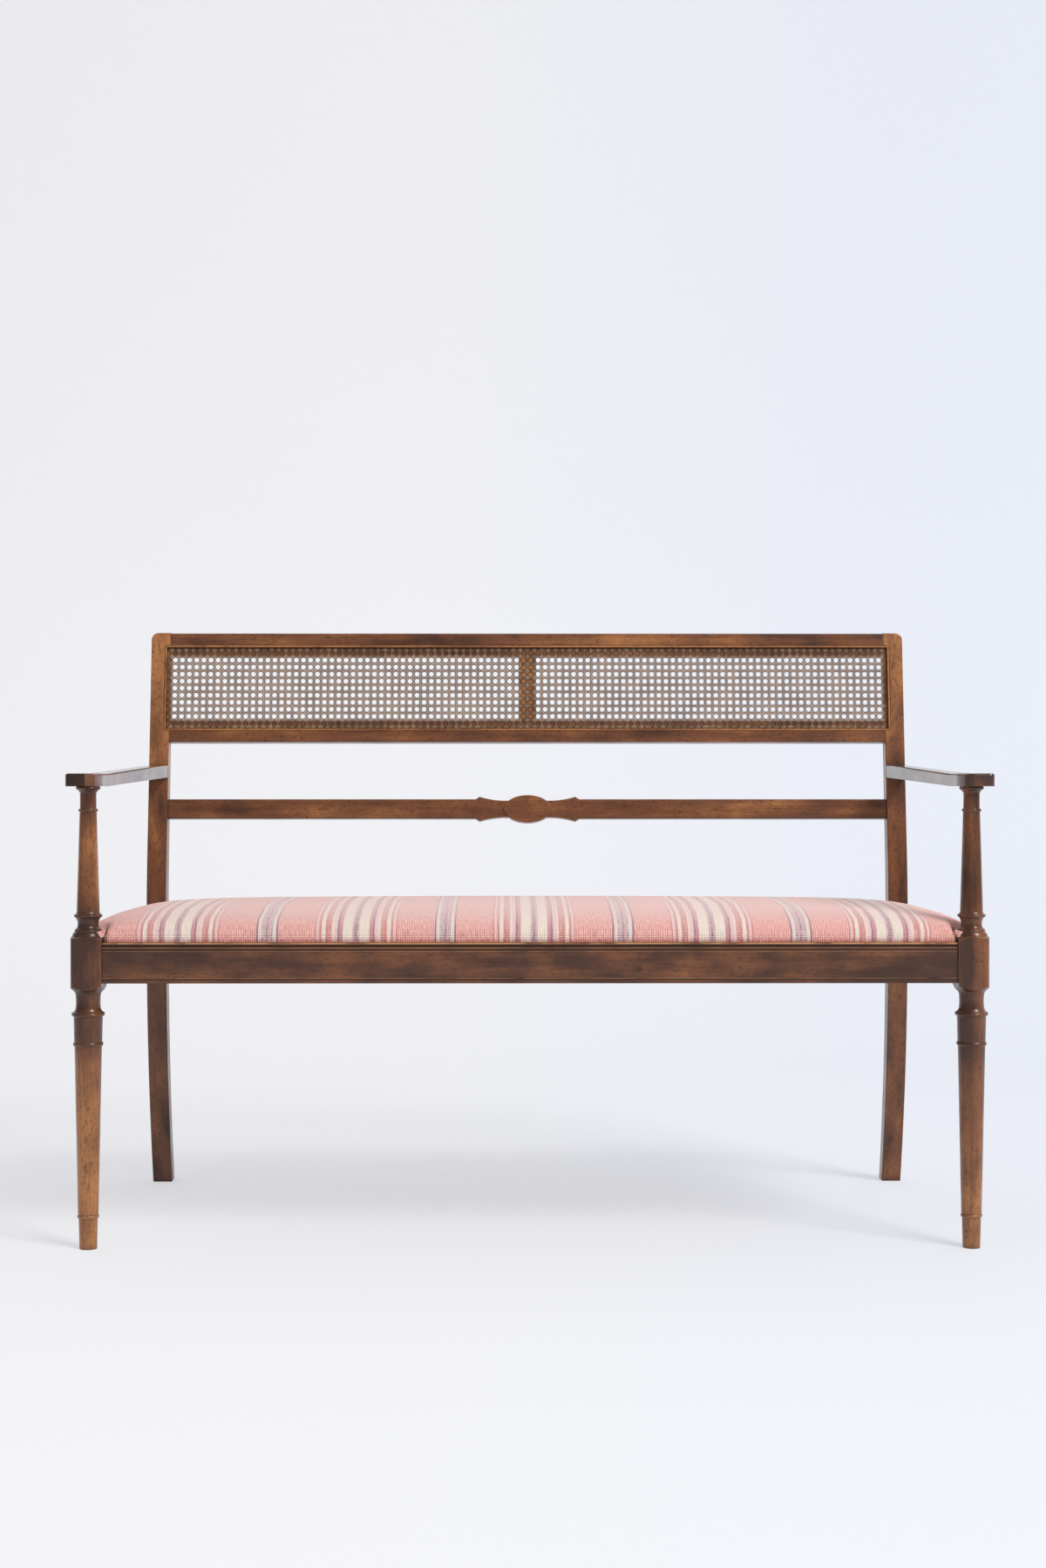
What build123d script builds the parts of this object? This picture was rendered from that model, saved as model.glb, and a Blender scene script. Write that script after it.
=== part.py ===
from build123d import *
import os
from math import cos, radians, sin, tan

# Settee with turned front legs, sawn rear posts, a caned back and a lift-out upholstered seat.
# Millimetres, +Z up, front towards -Y. The pieces are drawn with the axes of the front legs on
# Y = 0 and saved with the origin on the floor under the middle of the whole settee.

# Plan and main heights
leg_spacing = 1195.0            # between the axes of the front legs
back_width = 1179.0             # over the outer faces of the rear posts
seat_depth = 440.0              # from the leg axes to the front faces of the rear posts
seat_rail_top = 414.5
seat_rail_height = 55.0
arm_underside = 624.5           # where the front leg carries the arm
arm_rise = 12.5                 # the arm climbs this much from the leg to the post
overall_height = 864.0

# Front legs: one turning from the foot to the arm, left square at the seat rails
block_side = 43.0
block_rounding = 9.5            # outer front corner of the block
block_above_rail = 7.5
block_below_rail = 9.5
pommel_rise = 6.0               # the turned shoulders climb this far from face middle to corner
foot_tip_diameter = 23.6
foot_top_diameter = 25.6
foot_height = 41.0
foot_ring_height = 5.5
foot_ring_diameter = 29.5
taper_foot_diameter = 27.5
taper_top_diameter = 36.6
ring_height = 6.0
low_ring_diameter = 40.6
drum_height = 34.5
drum_foot_diameter = 37.5
drum_top_diameter = 39.0
high_ring_diameter = 44.7
cove_height = 7.0
neck_diameter = 33.5
neck_height = 14.5
shoulder_height = 8.5
shoulder_diameter = 38.8
shoulder_fillet = 2.0           # small upright band between the cove and the block
ovolo_height = 6.7
ovolo_diameter = 35.6
vase_bead_height = 2.7
vase_bead_diameter = 36.6
vase_cove_height = 4.0
vase_neck_diameter = 28.8
vase_neck_height = 7.0
vase_flare_height = 5.0
vase_flare_diameter = 34.0
vase_ring_height = 4.5
vase_ring_diameter = 38.1
shaft_foot_flare = 6.0
shaft_foot_diameter = 30.6
shaft_top_diameter = 22.7
astragal_height = 4.5
astragal_diameter = 26.4
capital_neck_height = 20.5
capital_neck_diameter = 21.8
capital_cove_height = 5.0
capital_step_diameter = 30.0
capital_height = 4.5
capital_diameter = 33.2
curve_bow = 0.8                 # how far the turned curves bow from their chords
arm_pin_diameter = 14.0
arm_pin_length = 11.0

# Rear posts
post_width = 30.0
post_depth = 30.0               # front to back at the seat
post_foot_depth = 26.0
post_top_depth = 24.0
sabre_reach = 65.0              # the foot stands this far behind the seat
sabre_start = 400.0             # height where the leg starts to sweep back
rake_start = 430.0              # height where the back starts to lean
rake_bend = 80.0                # height of the bend
rake_angle = 7.5
post_top_rounding = 11.0
post_easing = 1.5

# Seat rails
rail_thickness = 24.0
rear_rail_thickness = 22.0
rail_setback = 3.0              # faces of the rails behind the faces of the blocks and posts
rail_bead = 5.0                 # bead run along the top edge
scratch_radius = 0.8
top_scratch_drop = 10.5
bottom_scratch_rise = 5.5
rail_tenon_thickness = 10.0
rail_tenon_length = 18.0
rail_tenon_margin = 6.0         # shoulder above and below the tenon
side_tenon_length = 10.0
seat_rebate_depth = 12.0
seat_lip = 6.0                  # rim of the rails round the lift-out seat
cross_rail_width = 45.0
cross_rail_height = 26.0
cross_rail_drop = 4.0           # below the rebate
cross_tenon_length = 9.0
corner_block_reach = 52.0
corner_block_height = 32.0
corner_block_drop = 3.0         # below the rebate
screw_diameter = 4.0
screw_head_diameter = 8.0
screw_head_height = 2.5
screw_bite = 14.0               # length in the rail
screw_head_depth = 5.0          # head sunk below the block's slanted face
screw_place = 0.42              # along the slanted face, from the end on the long rail
fit = 0.15                      # clearance of a tenon, pin or screw in its hole

# Arms
arm_thickness = 17.5
arm_back_thickness = 19.5
arm_front_overhang = 24.0       # in front of the leg's axis
arm_outer_reach = 27.5          # outside the leg's axis
arm_level_length = 60.0         # level stretch over the leg, behind its axis
arm_waist_depth = 150.0         # where the arm is down to its slim width
arm_waist_width = 29.0
arm_waist_inset = 21.0          # inner edge at the waist, inside the leg's axis
arm_hand_inset = 17.5           # inner edge beside the leg, inside its axis
arm_corner_rounding = 7.0
arm_top_easing = 3.0
arm_tenon_width = 14.0
arm_tenon_height = 9.0
arm_tenon_length = 14.0

# Caned back, measured on the leaning front face
top_rail_drop = 0.4             # below the tops of the posts
top_rail_height = 34.6
cane_opening = 103.0            # between the top and bottom rails
bottom_rail_height = 33.3
mid_rail_gap = 89.3             # between the bottom rail and the middle rail
mid_rail_height = 29.8
back_rail_thickness = 20.0
back_rail_setback = 0.8
back_rail_easing = 2.0
back_tenon_length = 18.0
back_tenon_thickness = 8.0
back_tenon_margin = 4.0
cane_rebate_depth = 5.0
cane_ledge = 12.0               # wood behind the cane's border at the rails
cane_side_rebate = 9.0          # rebate in the posts
cane_bead_width = 4.0
cane_bead_proud = 0.6
cane_thickness = 1.6
cane_play = 0.2
muntin_width = 27.0
muntin_thickness = 13.0
muntin_tenon_length = 8.0
net_columns = 30                # on each side of the muntin
net_rows = 5
net_hole_share = 0.62           # hole across flats against the pitch
mid_rail_thickness = 16.0
tablet_length = 73.5
tablet_height = 43.0
tablet_proud = 1.5
flank_place = 74.6              # points of the flanks, from the middle
flank_rise = 4.0
flank_foot = 6.0                # outer slope of a flank, along the rail
flank_dip = 2.0                 # the edge dips this far between a point and the tablet

# Lift-out seat
seat_play = 1.0                 # between the seat and the rails, blocks and posts
cover_thickness = 1.2
stuffing_play = 0.3
hem_width = 26.0
frame_board = 48.0
frame_thickness = 20.0
frame_tenon_length = 12.0
webbing_width = 50.0
webbing_thickness = 1.5
webbing_fold = 30.0
lengthwise_webs = 3
crosswise_webs = 9
hessian_thickness = 1.0
hessian_margin = 6.0
crown_height = 466.0
roll_height = 424.0             # fullest line of the padded edge
roll_bulge = 2.5
seat_corner_rounding = 14.0
corner_spread = 0.5             # the corners round off more as the crown draws in
crown_side_run = 170.0          # the dome draws in this far from the ends of the seat
crown_end_run = 120.0           # and this far from its front and back
crown_steps = 5

# Places that follow from the sizes above
leg_axis = leg_spacing / 2
block_inner = leg_axis - block_side / 2
block_outer = leg_axis + block_side / 2
block_back = block_side / 2
rail_low = seat_rail_top - seat_rail_height
block_top = seat_rail_top + block_above_rail
block_bottom = rail_low - block_below_rail
post_outer = back_width / 2
post_inner = post_outer - post_width
rail_front = rail_setback - block_side / 2
rail_back = rail_front + rail_thickness
rear_rail_back = seat_depth + post_depth - rail_setback
rear_rail_front = rear_rail_back - rear_rail_thickness
rebate_floor = seat_rail_top - seat_rebate_depth
rake_end = rake_start + rake_bend
rake_step = rake_bend * tan(radians(rake_angle / 2))
rake_line = seat_depth + rake_step
foot_front = seat_depth + sabre_reach
top_rail_high = overall_height - top_rail_drop
top_rail_low = top_rail_high - top_rail_height
bottom_rail_high = top_rail_low - cane_opening
bottom_rail_low = bottom_rail_high - bottom_rail_height
mid_rail_high = bottom_rail_low - mid_rail_gap
mid_rail_low = mid_rail_high - mid_rail_height
depth_front = -arm_front_overhang
depth_back = foot_front + post_foot_depth
depth_middle = (depth_front + depth_back) / 2
back_plane = Plane(
    origin=(0, rake_line, rake_end),
    x_dir=(1, 0, 0),
    z_dir=(0, -cos(radians(rake_angle)), sin(radians(rake_angle))),
)


def post_front(height):
    """Depth of the leaning front face of the rear posts at a height."""
    return rake_line + (height - rake_end) * tan(radians(rake_angle))


def on_back(height):
    """Place up the leaning back of a height on its front face."""
    return (height - rake_end) / cos(radians(rake_angle))


def side_face(depth):
    """Half width over the outer faces of the side seat rails at a depth."""
    front = block_outer - rail_setback
    back = post_outer - rail_setback
    return front - (front - back) * depth / seat_depth


def board(x, y, z, grow=0.0):
    """Straight piece between pairs of planes; a grown tenon is its own mortise."""
    spans = [(low - grow, high + grow) for low, high in (x, y, z)]
    middle = [(low + high) / 2 for low, high in spans]
    return Pos(*middle) * Box(*[high - low for low, high in spans])


def plank(corners, low, high):
    """Flat piece with a straight-sided plan."""
    outline = make_face(Polyline(*corners, close=True))
    return Pos(0, 0, low) * extrude(outline, amount=high - low, dir=(0, 0, 1))


def both_sides(piece):
    return piece + mirror(piece, about=Plane.YZ)


def save(node, piece):
    export_step(Pos(0, -depth_middle, 0) * piece, f"parts/{node}.step")


def save_pair(node, right_piece):
    save(f"{node}_right", right_piece)
    save(f"{node}_left", mirror(right_piece, about=Plane.YZ))


class Turning:
    """Half outline of a turned length, drawn upwards member by member."""

    def __init__(self, height, diameter):
        self.height = height
        self.radius = diameter / 2
        self.edges = [Line((0, 0, height), (self.radius, 0, height))]

    def reach(self, rise, diameter, bow=0.0):
        """Run to a new diameter, straight or bowed out (in when negative)."""
        start = Vector(self.radius, 0, self.height)
        end = Vector(diameter / 2, 0, self.height + rise)
        if bow:
            middle = (start + end) * 0.5 + Vector(bow, 0, 0)
            self.edges.append(ThreePointArc(start, middle, end))
        else:
            self.edges.append(Line(start, end))
        self.height = end.Z
        self.radius = end.X

    def ring(self, rise, diameter):
        """Bead that swells to a diameter and comes back."""
        self.reach(rise, 2 * self.radius, diameter / 2 - self.radius)

    def solid(self):
        top = (0, 0, self.height)
        edges = self.edges + [Line((self.radius, 0, self.height), top), Line(top, self.edges[0] @ 0)]
        return revolve(make_face(edges), Axis.Z)


def leg_below_block():
    turning = Turning(0.0, foot_tip_diameter)
    turning.reach(foot_height, foot_top_diameter)
    turning.ring(foot_ring_height, foot_ring_diameter)
    turning.reach(0.0, taper_foot_diameter)
    above_taper = 2 * ring_height + drum_height + cove_height + neck_height + shoulder_height
    turning.reach(block_bottom - above_taper - turning.height, taper_top_diameter)
    turning.ring(ring_height, low_ring_diameter)
    turning.reach(0.0, drum_foot_diameter)
    turning.reach(drum_height, drum_top_diameter)
    turning.ring(ring_height, high_ring_diameter)
    turning.reach(cove_height, neck_diameter, -curve_bow)
    turning.reach(neck_height, neck_diameter, -curve_bow / 2)
    return turning.solid()


def leg_block():
    """Square block whose corners are turned off at both ends."""
    corner_diameter = 2 ** 0.5 * block_side + 2 * curve_bow
    turning = Turning(block_bottom - shoulder_height, neck_diameter)
    turning.reach(shoulder_height - shoulder_fillet, shoulder_diameter, -curve_bow)
    turning.reach(shoulder_fillet, block_side)
    turning.reach(pommel_rise, corner_diameter, -curve_bow)
    turning.reach(block_top - block_bottom - 2 * pommel_rise, corner_diameter)
    turning.reach(pommel_rise, block_side, curve_bow)
    turning.reach(ovolo_height, ovolo_diameter, curve_bow)
    half = block_side / 2
    square = board((-half, half), (-half, half), (block_bottom - shoulder_height, turning.height))
    outer_edge = square.edges().filter_by(Axis.Z).sort_by(Axis.X)[2:].sort_by(Axis.Y)[0]
    return turning.solid() & fillet(outer_edge, block_rounding)


def leg_above_block():
    turning = Turning(block_top + ovolo_height, ovolo_diameter)
    turning.ring(vase_bead_height, vase_bead_diameter)
    turning.reach(vase_cove_height, vase_neck_diameter, -curve_bow)
    turning.reach(vase_neck_height, vase_neck_diameter, -curve_bow / 2)
    turning.reach(vase_flare_height, vase_flare_diameter, -curve_bow / 2)
    turning.ring(vase_ring_height, vase_ring_diameter)
    turning.reach(shaft_foot_flare, shaft_foot_diameter, -curve_bow)
    above_shaft = astragal_height + capital_neck_height + capital_cove_height + capital_height
    turning.reach(arm_underside - above_shaft - turning.height, shaft_top_diameter)
    turning.ring(astragal_height, astragal_diameter)
    turning.reach(0.0, capital_neck_diameter)
    turning.reach(capital_neck_height, capital_neck_diameter)
    turning.reach(capital_cove_height, capital_step_diameter, -curve_bow)
    turning.ring(capital_height, capital_diameter)
    turning.reach(0.0, arm_pin_diameter)
    turning.reach(arm_pin_length, arm_pin_diameter)
    return turning.solid()


def front_rail_tenon(grow=0.0):
    """Right-hand tenon of the front rail."""
    middle = (rail_front + rail_back) / 2
    return board(
        (block_inner, block_inner + rail_tenon_length),
        (middle - rail_tenon_thickness / 2, middle + rail_tenon_thickness / 2),
        (rail_low + rail_tenon_margin, rebate_floor - rail_tenon_margin),
        grow,
    )


def side_rail_tenon(shoulder, tip, grow=0.0):
    """Tenon at one end of the right side rail, between two depths."""
    middle = side_face(shoulder) - rail_thickness / 2
    return board(
        (middle - rail_tenon_thickness / 2, middle + rail_tenon_thickness / 2),
        (min(shoulder, tip), max(shoulder, tip)),
        (rail_low + rail_tenon_margin, rebate_floor - rail_tenon_margin),
        grow,
    )


def rear_rail_tenon(grow=0.0):
    middle = (rear_rail_front + rear_rail_back) / 2
    return board(
        (post_inner, post_inner + rail_tenon_length),
        (middle - rail_tenon_thickness / 2, middle + rail_tenon_thickness / 2),
        (rail_low + rail_tenon_margin, rebate_floor - rail_tenon_margin),
        grow,
    )


def front_leg():
    """Right front leg with the mortises of the two rails that meet in its block."""
    turned = Pos(leg_axis, 0, 0) * (leg_below_block() + leg_block() + leg_above_block())
    turned -= front_rail_tenon(fit)
    return turned - side_rail_tenon(block_back, block_back - side_tenon_length, fit)


def rail_section():
    """Seat rail section in X and Y: outer face on X = 0, top on Y = 0, rebate on the inside."""
    radius = rail_bead / 2
    wood = Pos(rail_thickness / 2, -seat_rail_height / 2) * Rectangle(rail_thickness, seat_rail_height)
    wood -= Pos(radius / 2, -radius) * Rectangle(radius, rail_bead)
    wood += Pos(radius, -radius) * Circle(radius)
    rebate_width = rail_thickness - seat_lip
    wood -= Pos(rail_thickness - rebate_width / 2, -seat_rebate_depth / 2) * Rectangle(
        rebate_width, seat_rebate_depth
    )
    for drop in (rail_bead + scratch_radius, top_scratch_drop, seat_rail_height - bottom_scratch_rise):
        wood -= Pos(0, -drop) * Circle(scratch_radius)
    return wood


def front_seat_rail():
    section = Plane((0, rail_front, seat_rail_top), x_dir=(0, 1, 0), z_dir=(1, 0, 0)) * rail_section()
    rail = extrude(section, amount=block_inner, both=True)
    rail += both_sides(front_rail_tenon())
    rail -= cross_rail_tenon(rail_back, rail_back - cross_tenon_length, fit)
    return rail - screw_holes()


def side_seat_rail():
    """Right side rail, sheared in plan so that both shoulders meet the legs square."""
    run = seat_depth - block_back
    slope = Vector(side_face(seat_depth) - side_face(block_back), run, 0)
    start = Plane((side_face(block_back), block_back, seat_rail_top), x_dir=(-1, 0, 0), z_dir=(0, 1, 0))
    rail = extrude(start * rail_section(), amount=slope.length, dir=slope)
    rail += side_rail_tenon(block_back, block_back - side_tenon_length)
    rail += side_rail_tenon(seat_depth, seat_depth + side_tenon_length)
    return rail - screw_holes()


def rear_seat_rail():
    rail = board((-post_inner, post_inner), (rear_rail_front, rear_rail_back), (rail_low, seat_rail_top))
    rail -= board(
        (-post_inner, post_inner),
        (rear_rail_front, rear_rail_back - seat_lip),
        (rebate_floor, seat_rail_top),
    )
    rail += both_sides(rear_rail_tenon())
    rail -= cross_rail_tenon(rear_rail_front, rear_rail_front + cross_tenon_length, fit)
    return rail - screw_holes()


def cross_rail_tenon(shoulder, tip, grow=0.0):
    top = rebate_floor - cross_rail_drop
    return board(
        (-cross_rail_width / 2 + rail_tenon_margin, cross_rail_width / 2 - rail_tenon_margin),
        (min(shoulder, tip), max(shoulder, tip)),
        (top - cross_rail_height + rail_tenon_margin, top - rail_tenon_margin),
        grow,
    )


def seat_cross_rail():
    """Stiffener under the loose seat, from the front rail to the rear rail."""
    top = rebate_floor - cross_rail_drop
    rail = board(
        (-cross_rail_width / 2, cross_rail_width / 2),
        (rail_back, rear_rail_front),
        (top - cross_rail_height, top),
    )
    rail += cross_rail_tenon(rail_back, rail_back - cross_tenon_length)
    return rail + cross_rail_tenon(rear_rail_front, rear_rail_front + cross_tenon_length)


def rear_post():
    """Right rear post, sawn to one curved side view."""
    bend_depth = post_depth - (post_depth - post_top_depth) * rake_bend / (overall_height - rake_start)
    stations = []
    for foot, seat, bend, top in (
        (foot_front, seat_depth, rake_line, post_front(overall_height)),
        (
            foot_front + post_foot_depth,
            seat_depth + post_depth,
            rake_line + bend_depth,
            post_front(overall_height) + post_top_depth,
        ),
    ):
        stations += [
            TangentArc((0, seat, sabre_start), (0, foot, 0), tangent=(0, 0, -1)),
            Line((0, seat, sabre_start), (0, seat, rake_start)),
            TangentArc((0, seat, rake_start), (0, bend, rake_end), tangent=(0, 0, 1)),
            Line((0, bend, rake_end), (0, top, overall_height)),
        ]
    foot_edge = Line(stations[0] @ 1, stations[4] @ 1)
    top_edge = Line(stations[3] @ 1, stations[7] @ 1)
    side_view = make_face(stations + [foot_edge, top_edge])
    post = Pos(post_inner, 0, 0) * extrude(side_view, amount=post_width, dir=(1, 0, 0))
    outer_top = post.edges().group_by(Axis.Z)[-1].sort_by(Axis.X)[-1]
    post = fillet(outer_top, post_top_rounding)
    inner_side, *_, outer_side = post.faces().sort_by(Axis.X)
    beside_rail = inner_side.edges().sort_by(Axis.Z)[-1]
    eased = [edge for edge in inner_side.edges() + outer_side.edges() if edge.center() != beside_rail.center()]
    return fillet(eased, post_easing)


def back_tenon(low, high, grow=0.0):
    """Right-hand tenon of a back rail, in the frame of the leaning back."""
    middle = -back_rail_setback - back_rail_thickness / 2
    return board(
        (post_inner, post_inner + back_tenon_length),
        (on_back(low) + back_tenon_margin, on_back(high) - back_tenon_margin),
        (middle - back_tenon_thickness / 2, middle + back_tenon_thickness / 2),
        grow,
    )


cane_low = on_back(bottom_rail_high) - cane_ledge
cane_high = on_back(top_rail_low) + cane_ledge
cane_half = post_inner + cane_side_rebate


def cane_rebate():
    """Space of the rebate that takes the cane and its beads, in the frame of the back."""
    return board(
        (-cane_half, cane_half),
        (cane_low - cane_bead_width, cane_high + cane_bead_width),
        (-cane_rebate_depth, cane_rebate_depth),
    )


def finished_rear_post():
    post = rear_post()
    for low, high in (
        (top_rail_low, top_rail_high),
        (bottom_rail_low, bottom_rail_high),
        (mid_rail_low, mid_rail_high),
    ):
        post -= back_plane * back_tenon(low, high, fit)
    post -= back_plane * cane_rebate()
    post -= rear_rail_tenon(fit)
    post -= side_rail_tenon(seat_depth, seat_depth + side_tenon_length, fit)
    return post - arm_tenon(fit)


def back_rail(low, high):
    """Straight rail of the back with its tenons, in the frame of the back."""
    rail = board(
        (-post_inner, post_inner),
        (on_back(low), on_back(high)),
        (-back_rail_setback - back_rail_thickness, -back_rail_setback),
    )
    return rail + both_sides(back_tenon(low, high))


def eased_edge(rail, place):
    """Rail with its front edge eased, the lowest (place 0) or the highest (place -1)."""
    front_edges = rail.edges().filter_by(Axis.X).group_by(Axis.Z)[-1]
    return fillet(front_edges.sort_by(Axis.Y)[place], back_rail_easing)


def muntin_tenon(shoulder, tip, grow=0.0):
    middle = -cane_rebate_depth - muntin_thickness / 2
    return board(
        (-muntin_width / 2 + back_tenon_margin, muntin_width / 2 - back_tenon_margin),
        (min(shoulder, tip), max(shoulder, tip)),
        (middle - back_tenon_thickness / 2, middle + back_tenon_thickness / 2),
        grow,
    )


def cane_muntin():
    low = on_back(bottom_rail_high)
    high = on_back(top_rail_low)
    muntin = board(
        (-muntin_width / 2, muntin_width / 2),
        (low, high),
        (-cane_rebate_depth - muntin_thickness, -cane_rebate_depth),
    )
    muntin += muntin_tenon(low, low - muntin_tenon_length)
    return muntin + muntin_tenon(high, high + muntin_tenon_length)


def cane_panel():
    """Cane sheet as one holed face: openings on both sides of the muntin, close weave at the rim."""
    low = on_back(bottom_rail_high)
    high = on_back(top_rail_low)
    field = post_inner - muntin_width / 2
    pitch = field / net_columns
    row_pitch = (high - low) / net_rows
    hole = RegularPolygon(net_hole_share * pitch / 2, 8, major_radius=False, rotation=22.5)
    rim = Pos(0, (cane_low + cane_high) / 2) * Rectangle(
        2 * (cane_half - cane_play), cane_high - cane_low + 2 * (cane_bead_width - cane_play)
    )
    gaps = []
    for column in range(net_columns):
        across = muntin_width / 2 + pitch * (column + 0.5)
        for row in range(net_rows):
            up = low + row_pitch * (row + 0.5)
            gaps += [(Pos(side * across, up) * hole).wire() for side in (1, -1)]
    sheet = Face(rim.wire(), gaps)
    return Pos(0, 0, -cane_rebate_depth) * extrude(sheet, amount=cane_thickness, dir=(0, 0, 1))


def bead_strip(length):
    """Half-round strip along X, standing on Z = 0, its outer side on Y = 0."""
    height = cane_rebate_depth - cane_thickness + cane_bead_proud
    radius = cane_bead_width / 2 - cane_play
    section = Pos(-cane_bead_width / 2, (height - radius) / 2) * Rectangle(2 * radius, height - radius)
    section += Pos(-cane_bead_width / 2, height - radius) * Circle(radius)
    return extrude(Plane.YZ * section, amount=length / 2, both=True)


def cane_beads():
    """The four strips that trap the cane, in the frame of the back."""
    seat = -cane_rebate_depth + cane_thickness
    top_edge = cane_high + cane_bead_width
    bottom_edge = cane_low - cane_bead_width
    long_strip = bead_strip(2 * (cane_half - cane_play))
    short_strip = bead_strip(cane_high - cane_low - 2 * cane_play)
    middle = (cane_low + cane_high) / 2
    return {
        "cane_bead_top": Pos(0, top_edge, seat) * long_strip,
        "cane_bead_bottom": Pos(0, bottom_edge, seat) * Rot(0, 0, 180) * long_strip,
        "cane_bead_left": Pos(-cane_half, middle, seat) * Rot(0, 0, 90) * short_strip,
        "cane_bead_right": Pos(cane_half, middle, seat) * Rot(0, 0, -90) * short_strip,
    }


def back_mid_rail():
    """Rail with a raised oval tablet between two pointed flanks, in the frame of the back."""
    middle = (on_back(mid_rail_low) + on_back(mid_rail_high)) / 2
    half = (on_back(mid_rail_high) - on_back(mid_rail_low)) / 2
    dip = half - flank_dip
    tablet_end = tablet_length / 2 * (1 - (dip / (tablet_height / 2)) ** 2) ** 0.5
    point = Vector(flank_place, half + flank_rise)
    inner = Vector(tablet_end, dip)
    hollow = (point + inner) * 0.5 - Vector(0, flank_dip)
    edges = [
        Line((0, 0), (0, dip)),
        Line((0, dip), inner),
        ThreePointArc(inner, hollow, point),
        Line(point, (flank_place + flank_foot, half)),
        Line((flank_place + flank_foot, half), (post_inner, half)),
        Line((post_inner, half), (post_inner, 0)),
        Line((post_inner, 0), (0, 0)),
    ]
    quarter = make_face(edges)
    upper = quarter + mirror(quarter, about=Plane.YZ)
    outline = upper + mirror(upper, about=Plane.XZ)
    tablet = Ellipse(tablet_length / 2, tablet_height / 2)
    back = -back_rail_setback - back_rail_thickness / 2 - mid_rail_thickness / 2
    rail = Pos(0, middle, back) * extrude(outline + tablet, amount=mid_rail_thickness)
    rail += Pos(0, middle, back) * extrude(tablet, amount=mid_rail_thickness + tablet_proud)
    return rail + both_sides(back_tenon(mid_rail_low, mid_rail_high))


def arm_tenon(grow=0.0):
    """Tenon of the right arm in the rear post."""
    height = arm_underside + arm_rise + arm_back_thickness / 2
    middle = post_inner + arm_waist_width / 2
    face = post_front(height)
    return board(
        (middle - arm_tenon_width / 2, middle + arm_tenon_width / 2),
        (face - arm_tenon_length, face + arm_tenon_length),
        (height - arm_tenon_height / 2, height + arm_tenon_height / 2),
        grow,
    )


def arm_top_rim(piece):
    """Edges round the top of an arm, its cross lines left out except the front one."""
    rim = ShapeList()
    across = ShapeList()
    for face in piece.faces():
        if face.normal_at().Z > cos(radians(rake_angle)):
            rim += face.edges().filter_by(Axis.X, reverse=True)
            across += face.edges().filter_by(Axis.X)
    return rim + [across.sort_by(Axis.Y)[0]]


def double_curve(start, start_way, end, end_way):
    """Two arcs that run smoothly from one point and direction to another."""
    run = end - start
    ways = start_way + end_way
    turn = 2 * (1 - start_way.dot(end_way))
    reach = ((run.dot(ways) ** 2 + turn * run.dot(run)) ** 0.5 - run.dot(ways)) / turn
    meeting = (start + end + (start_way - end_way) * reach) * 0.5
    first = TangentArc(start, meeting, tangent=start_way)
    return [first, TangentArc(meeting, end, tangent=first % 1)]


def arm():
    """Right arm, sawn first to its plan and then to its side view."""
    front = -arm_front_overhang
    past_post = seat_depth + post_depth
    nose = Vector(leg_axis, front)
    front_corner = Vector(leg_axis + arm_outer_reach, front)
    beside_leg = Vector(leg_axis + arm_outer_reach, 0)
    inner_back = Vector(post_inner, past_post)
    outer_back = Vector(post_inner + arm_waist_width, past_post)
    waist_in = Vector(leg_axis - arm_waist_inset, arm_waist_depth)
    waist_out = waist_in + Vector(arm_waist_width, 0)
    hand = Vector(leg_axis - arm_hand_inset, arm_hand_inset)
    inner_curve = TangentArc(waist_in, hand, tangent=waist_in - inner_back)
    plan = make_face(
        [
            Line(nose, front_corner),
            Line(front_corner, beside_leg),
            *double_curve(beside_leg, Vector(0, 1), waist_out, (outer_back - waist_out).normalized()),
            Line(waist_out, outer_back),
            Line(outer_back, inner_back),
            Line(inner_back, waist_in),
            inner_curve,
            TangentArc(hand, nose, tangent=inner_curve % 1),
        ]
    )
    low = arm_underside
    climb = arm_rise * (past_post - arm_level_length) / (post_front(low) - arm_level_length)
    swell = (arm_back_thickness - arm_thickness) * climb / arm_rise
    top = low + arm_thickness
    side_view = make_face(
        Polyline(
            (0, front, low),
            (0, arm_level_length, low),
            (0, past_post, low + climb),
            (0, past_post, top + climb + swell),
            (0, arm_level_length, top),
            (0, front, top),
            close=True,
        )
    )
    blank = extrude(plan, amount=overall_height, dir=(0, 0, 1))
    sawn = blank & extrude(side_view, amount=overall_height, dir=(1, 0, 0))
    corner = sawn.edges().filter_by(Axis.Z).sort_by(Axis.Y)[:2].sort_by(Axis.X)[-1]
    sawn = fillet(corner, arm_corner_rounding)
    sawn = fillet(arm_top_rim(sawn), arm_top_easing)
    behind_post_face = board((0, overall_height), (-overall_height, overall_height), (-overall_height, 0))
    sawn -= back_plane * behind_post_face
    sawn += arm_tenon()
    pin_hole = Pos(leg_axis, 0, low) * Cylinder(
        arm_pin_diameter / 2 + fit, 2 * (arm_pin_length + fit)
    )
    return sawn - pin_hole


def rail_inside(depth):
    """Half width between the inner faces of the side seat rails at a depth."""
    return side_face(depth) - rail_thickness


def corner_block_plan(end):
    """Plan of the right-hand glue block at one end of the side rail, notched round the leg."""
    if end == "front":
        rail_face, way, notch_x, notch_y = rail_back, 1, block_inner, block_back
    else:
        rail_face, way, notch_x, notch_y = rear_rail_front, -1, post_inner, seat_depth
    beside_leg = notch_y + way * fit
    tip = notch_y + way * corner_block_reach
    return [
        Vector(notch_x - corner_block_reach, rail_face),
        Vector(notch_x - fit, rail_face),
        Vector(notch_x - fit, beside_leg),
        Vector(rail_inside(beside_leg), beside_leg),
        Vector(rail_inside(tip), tip),
    ]


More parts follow.
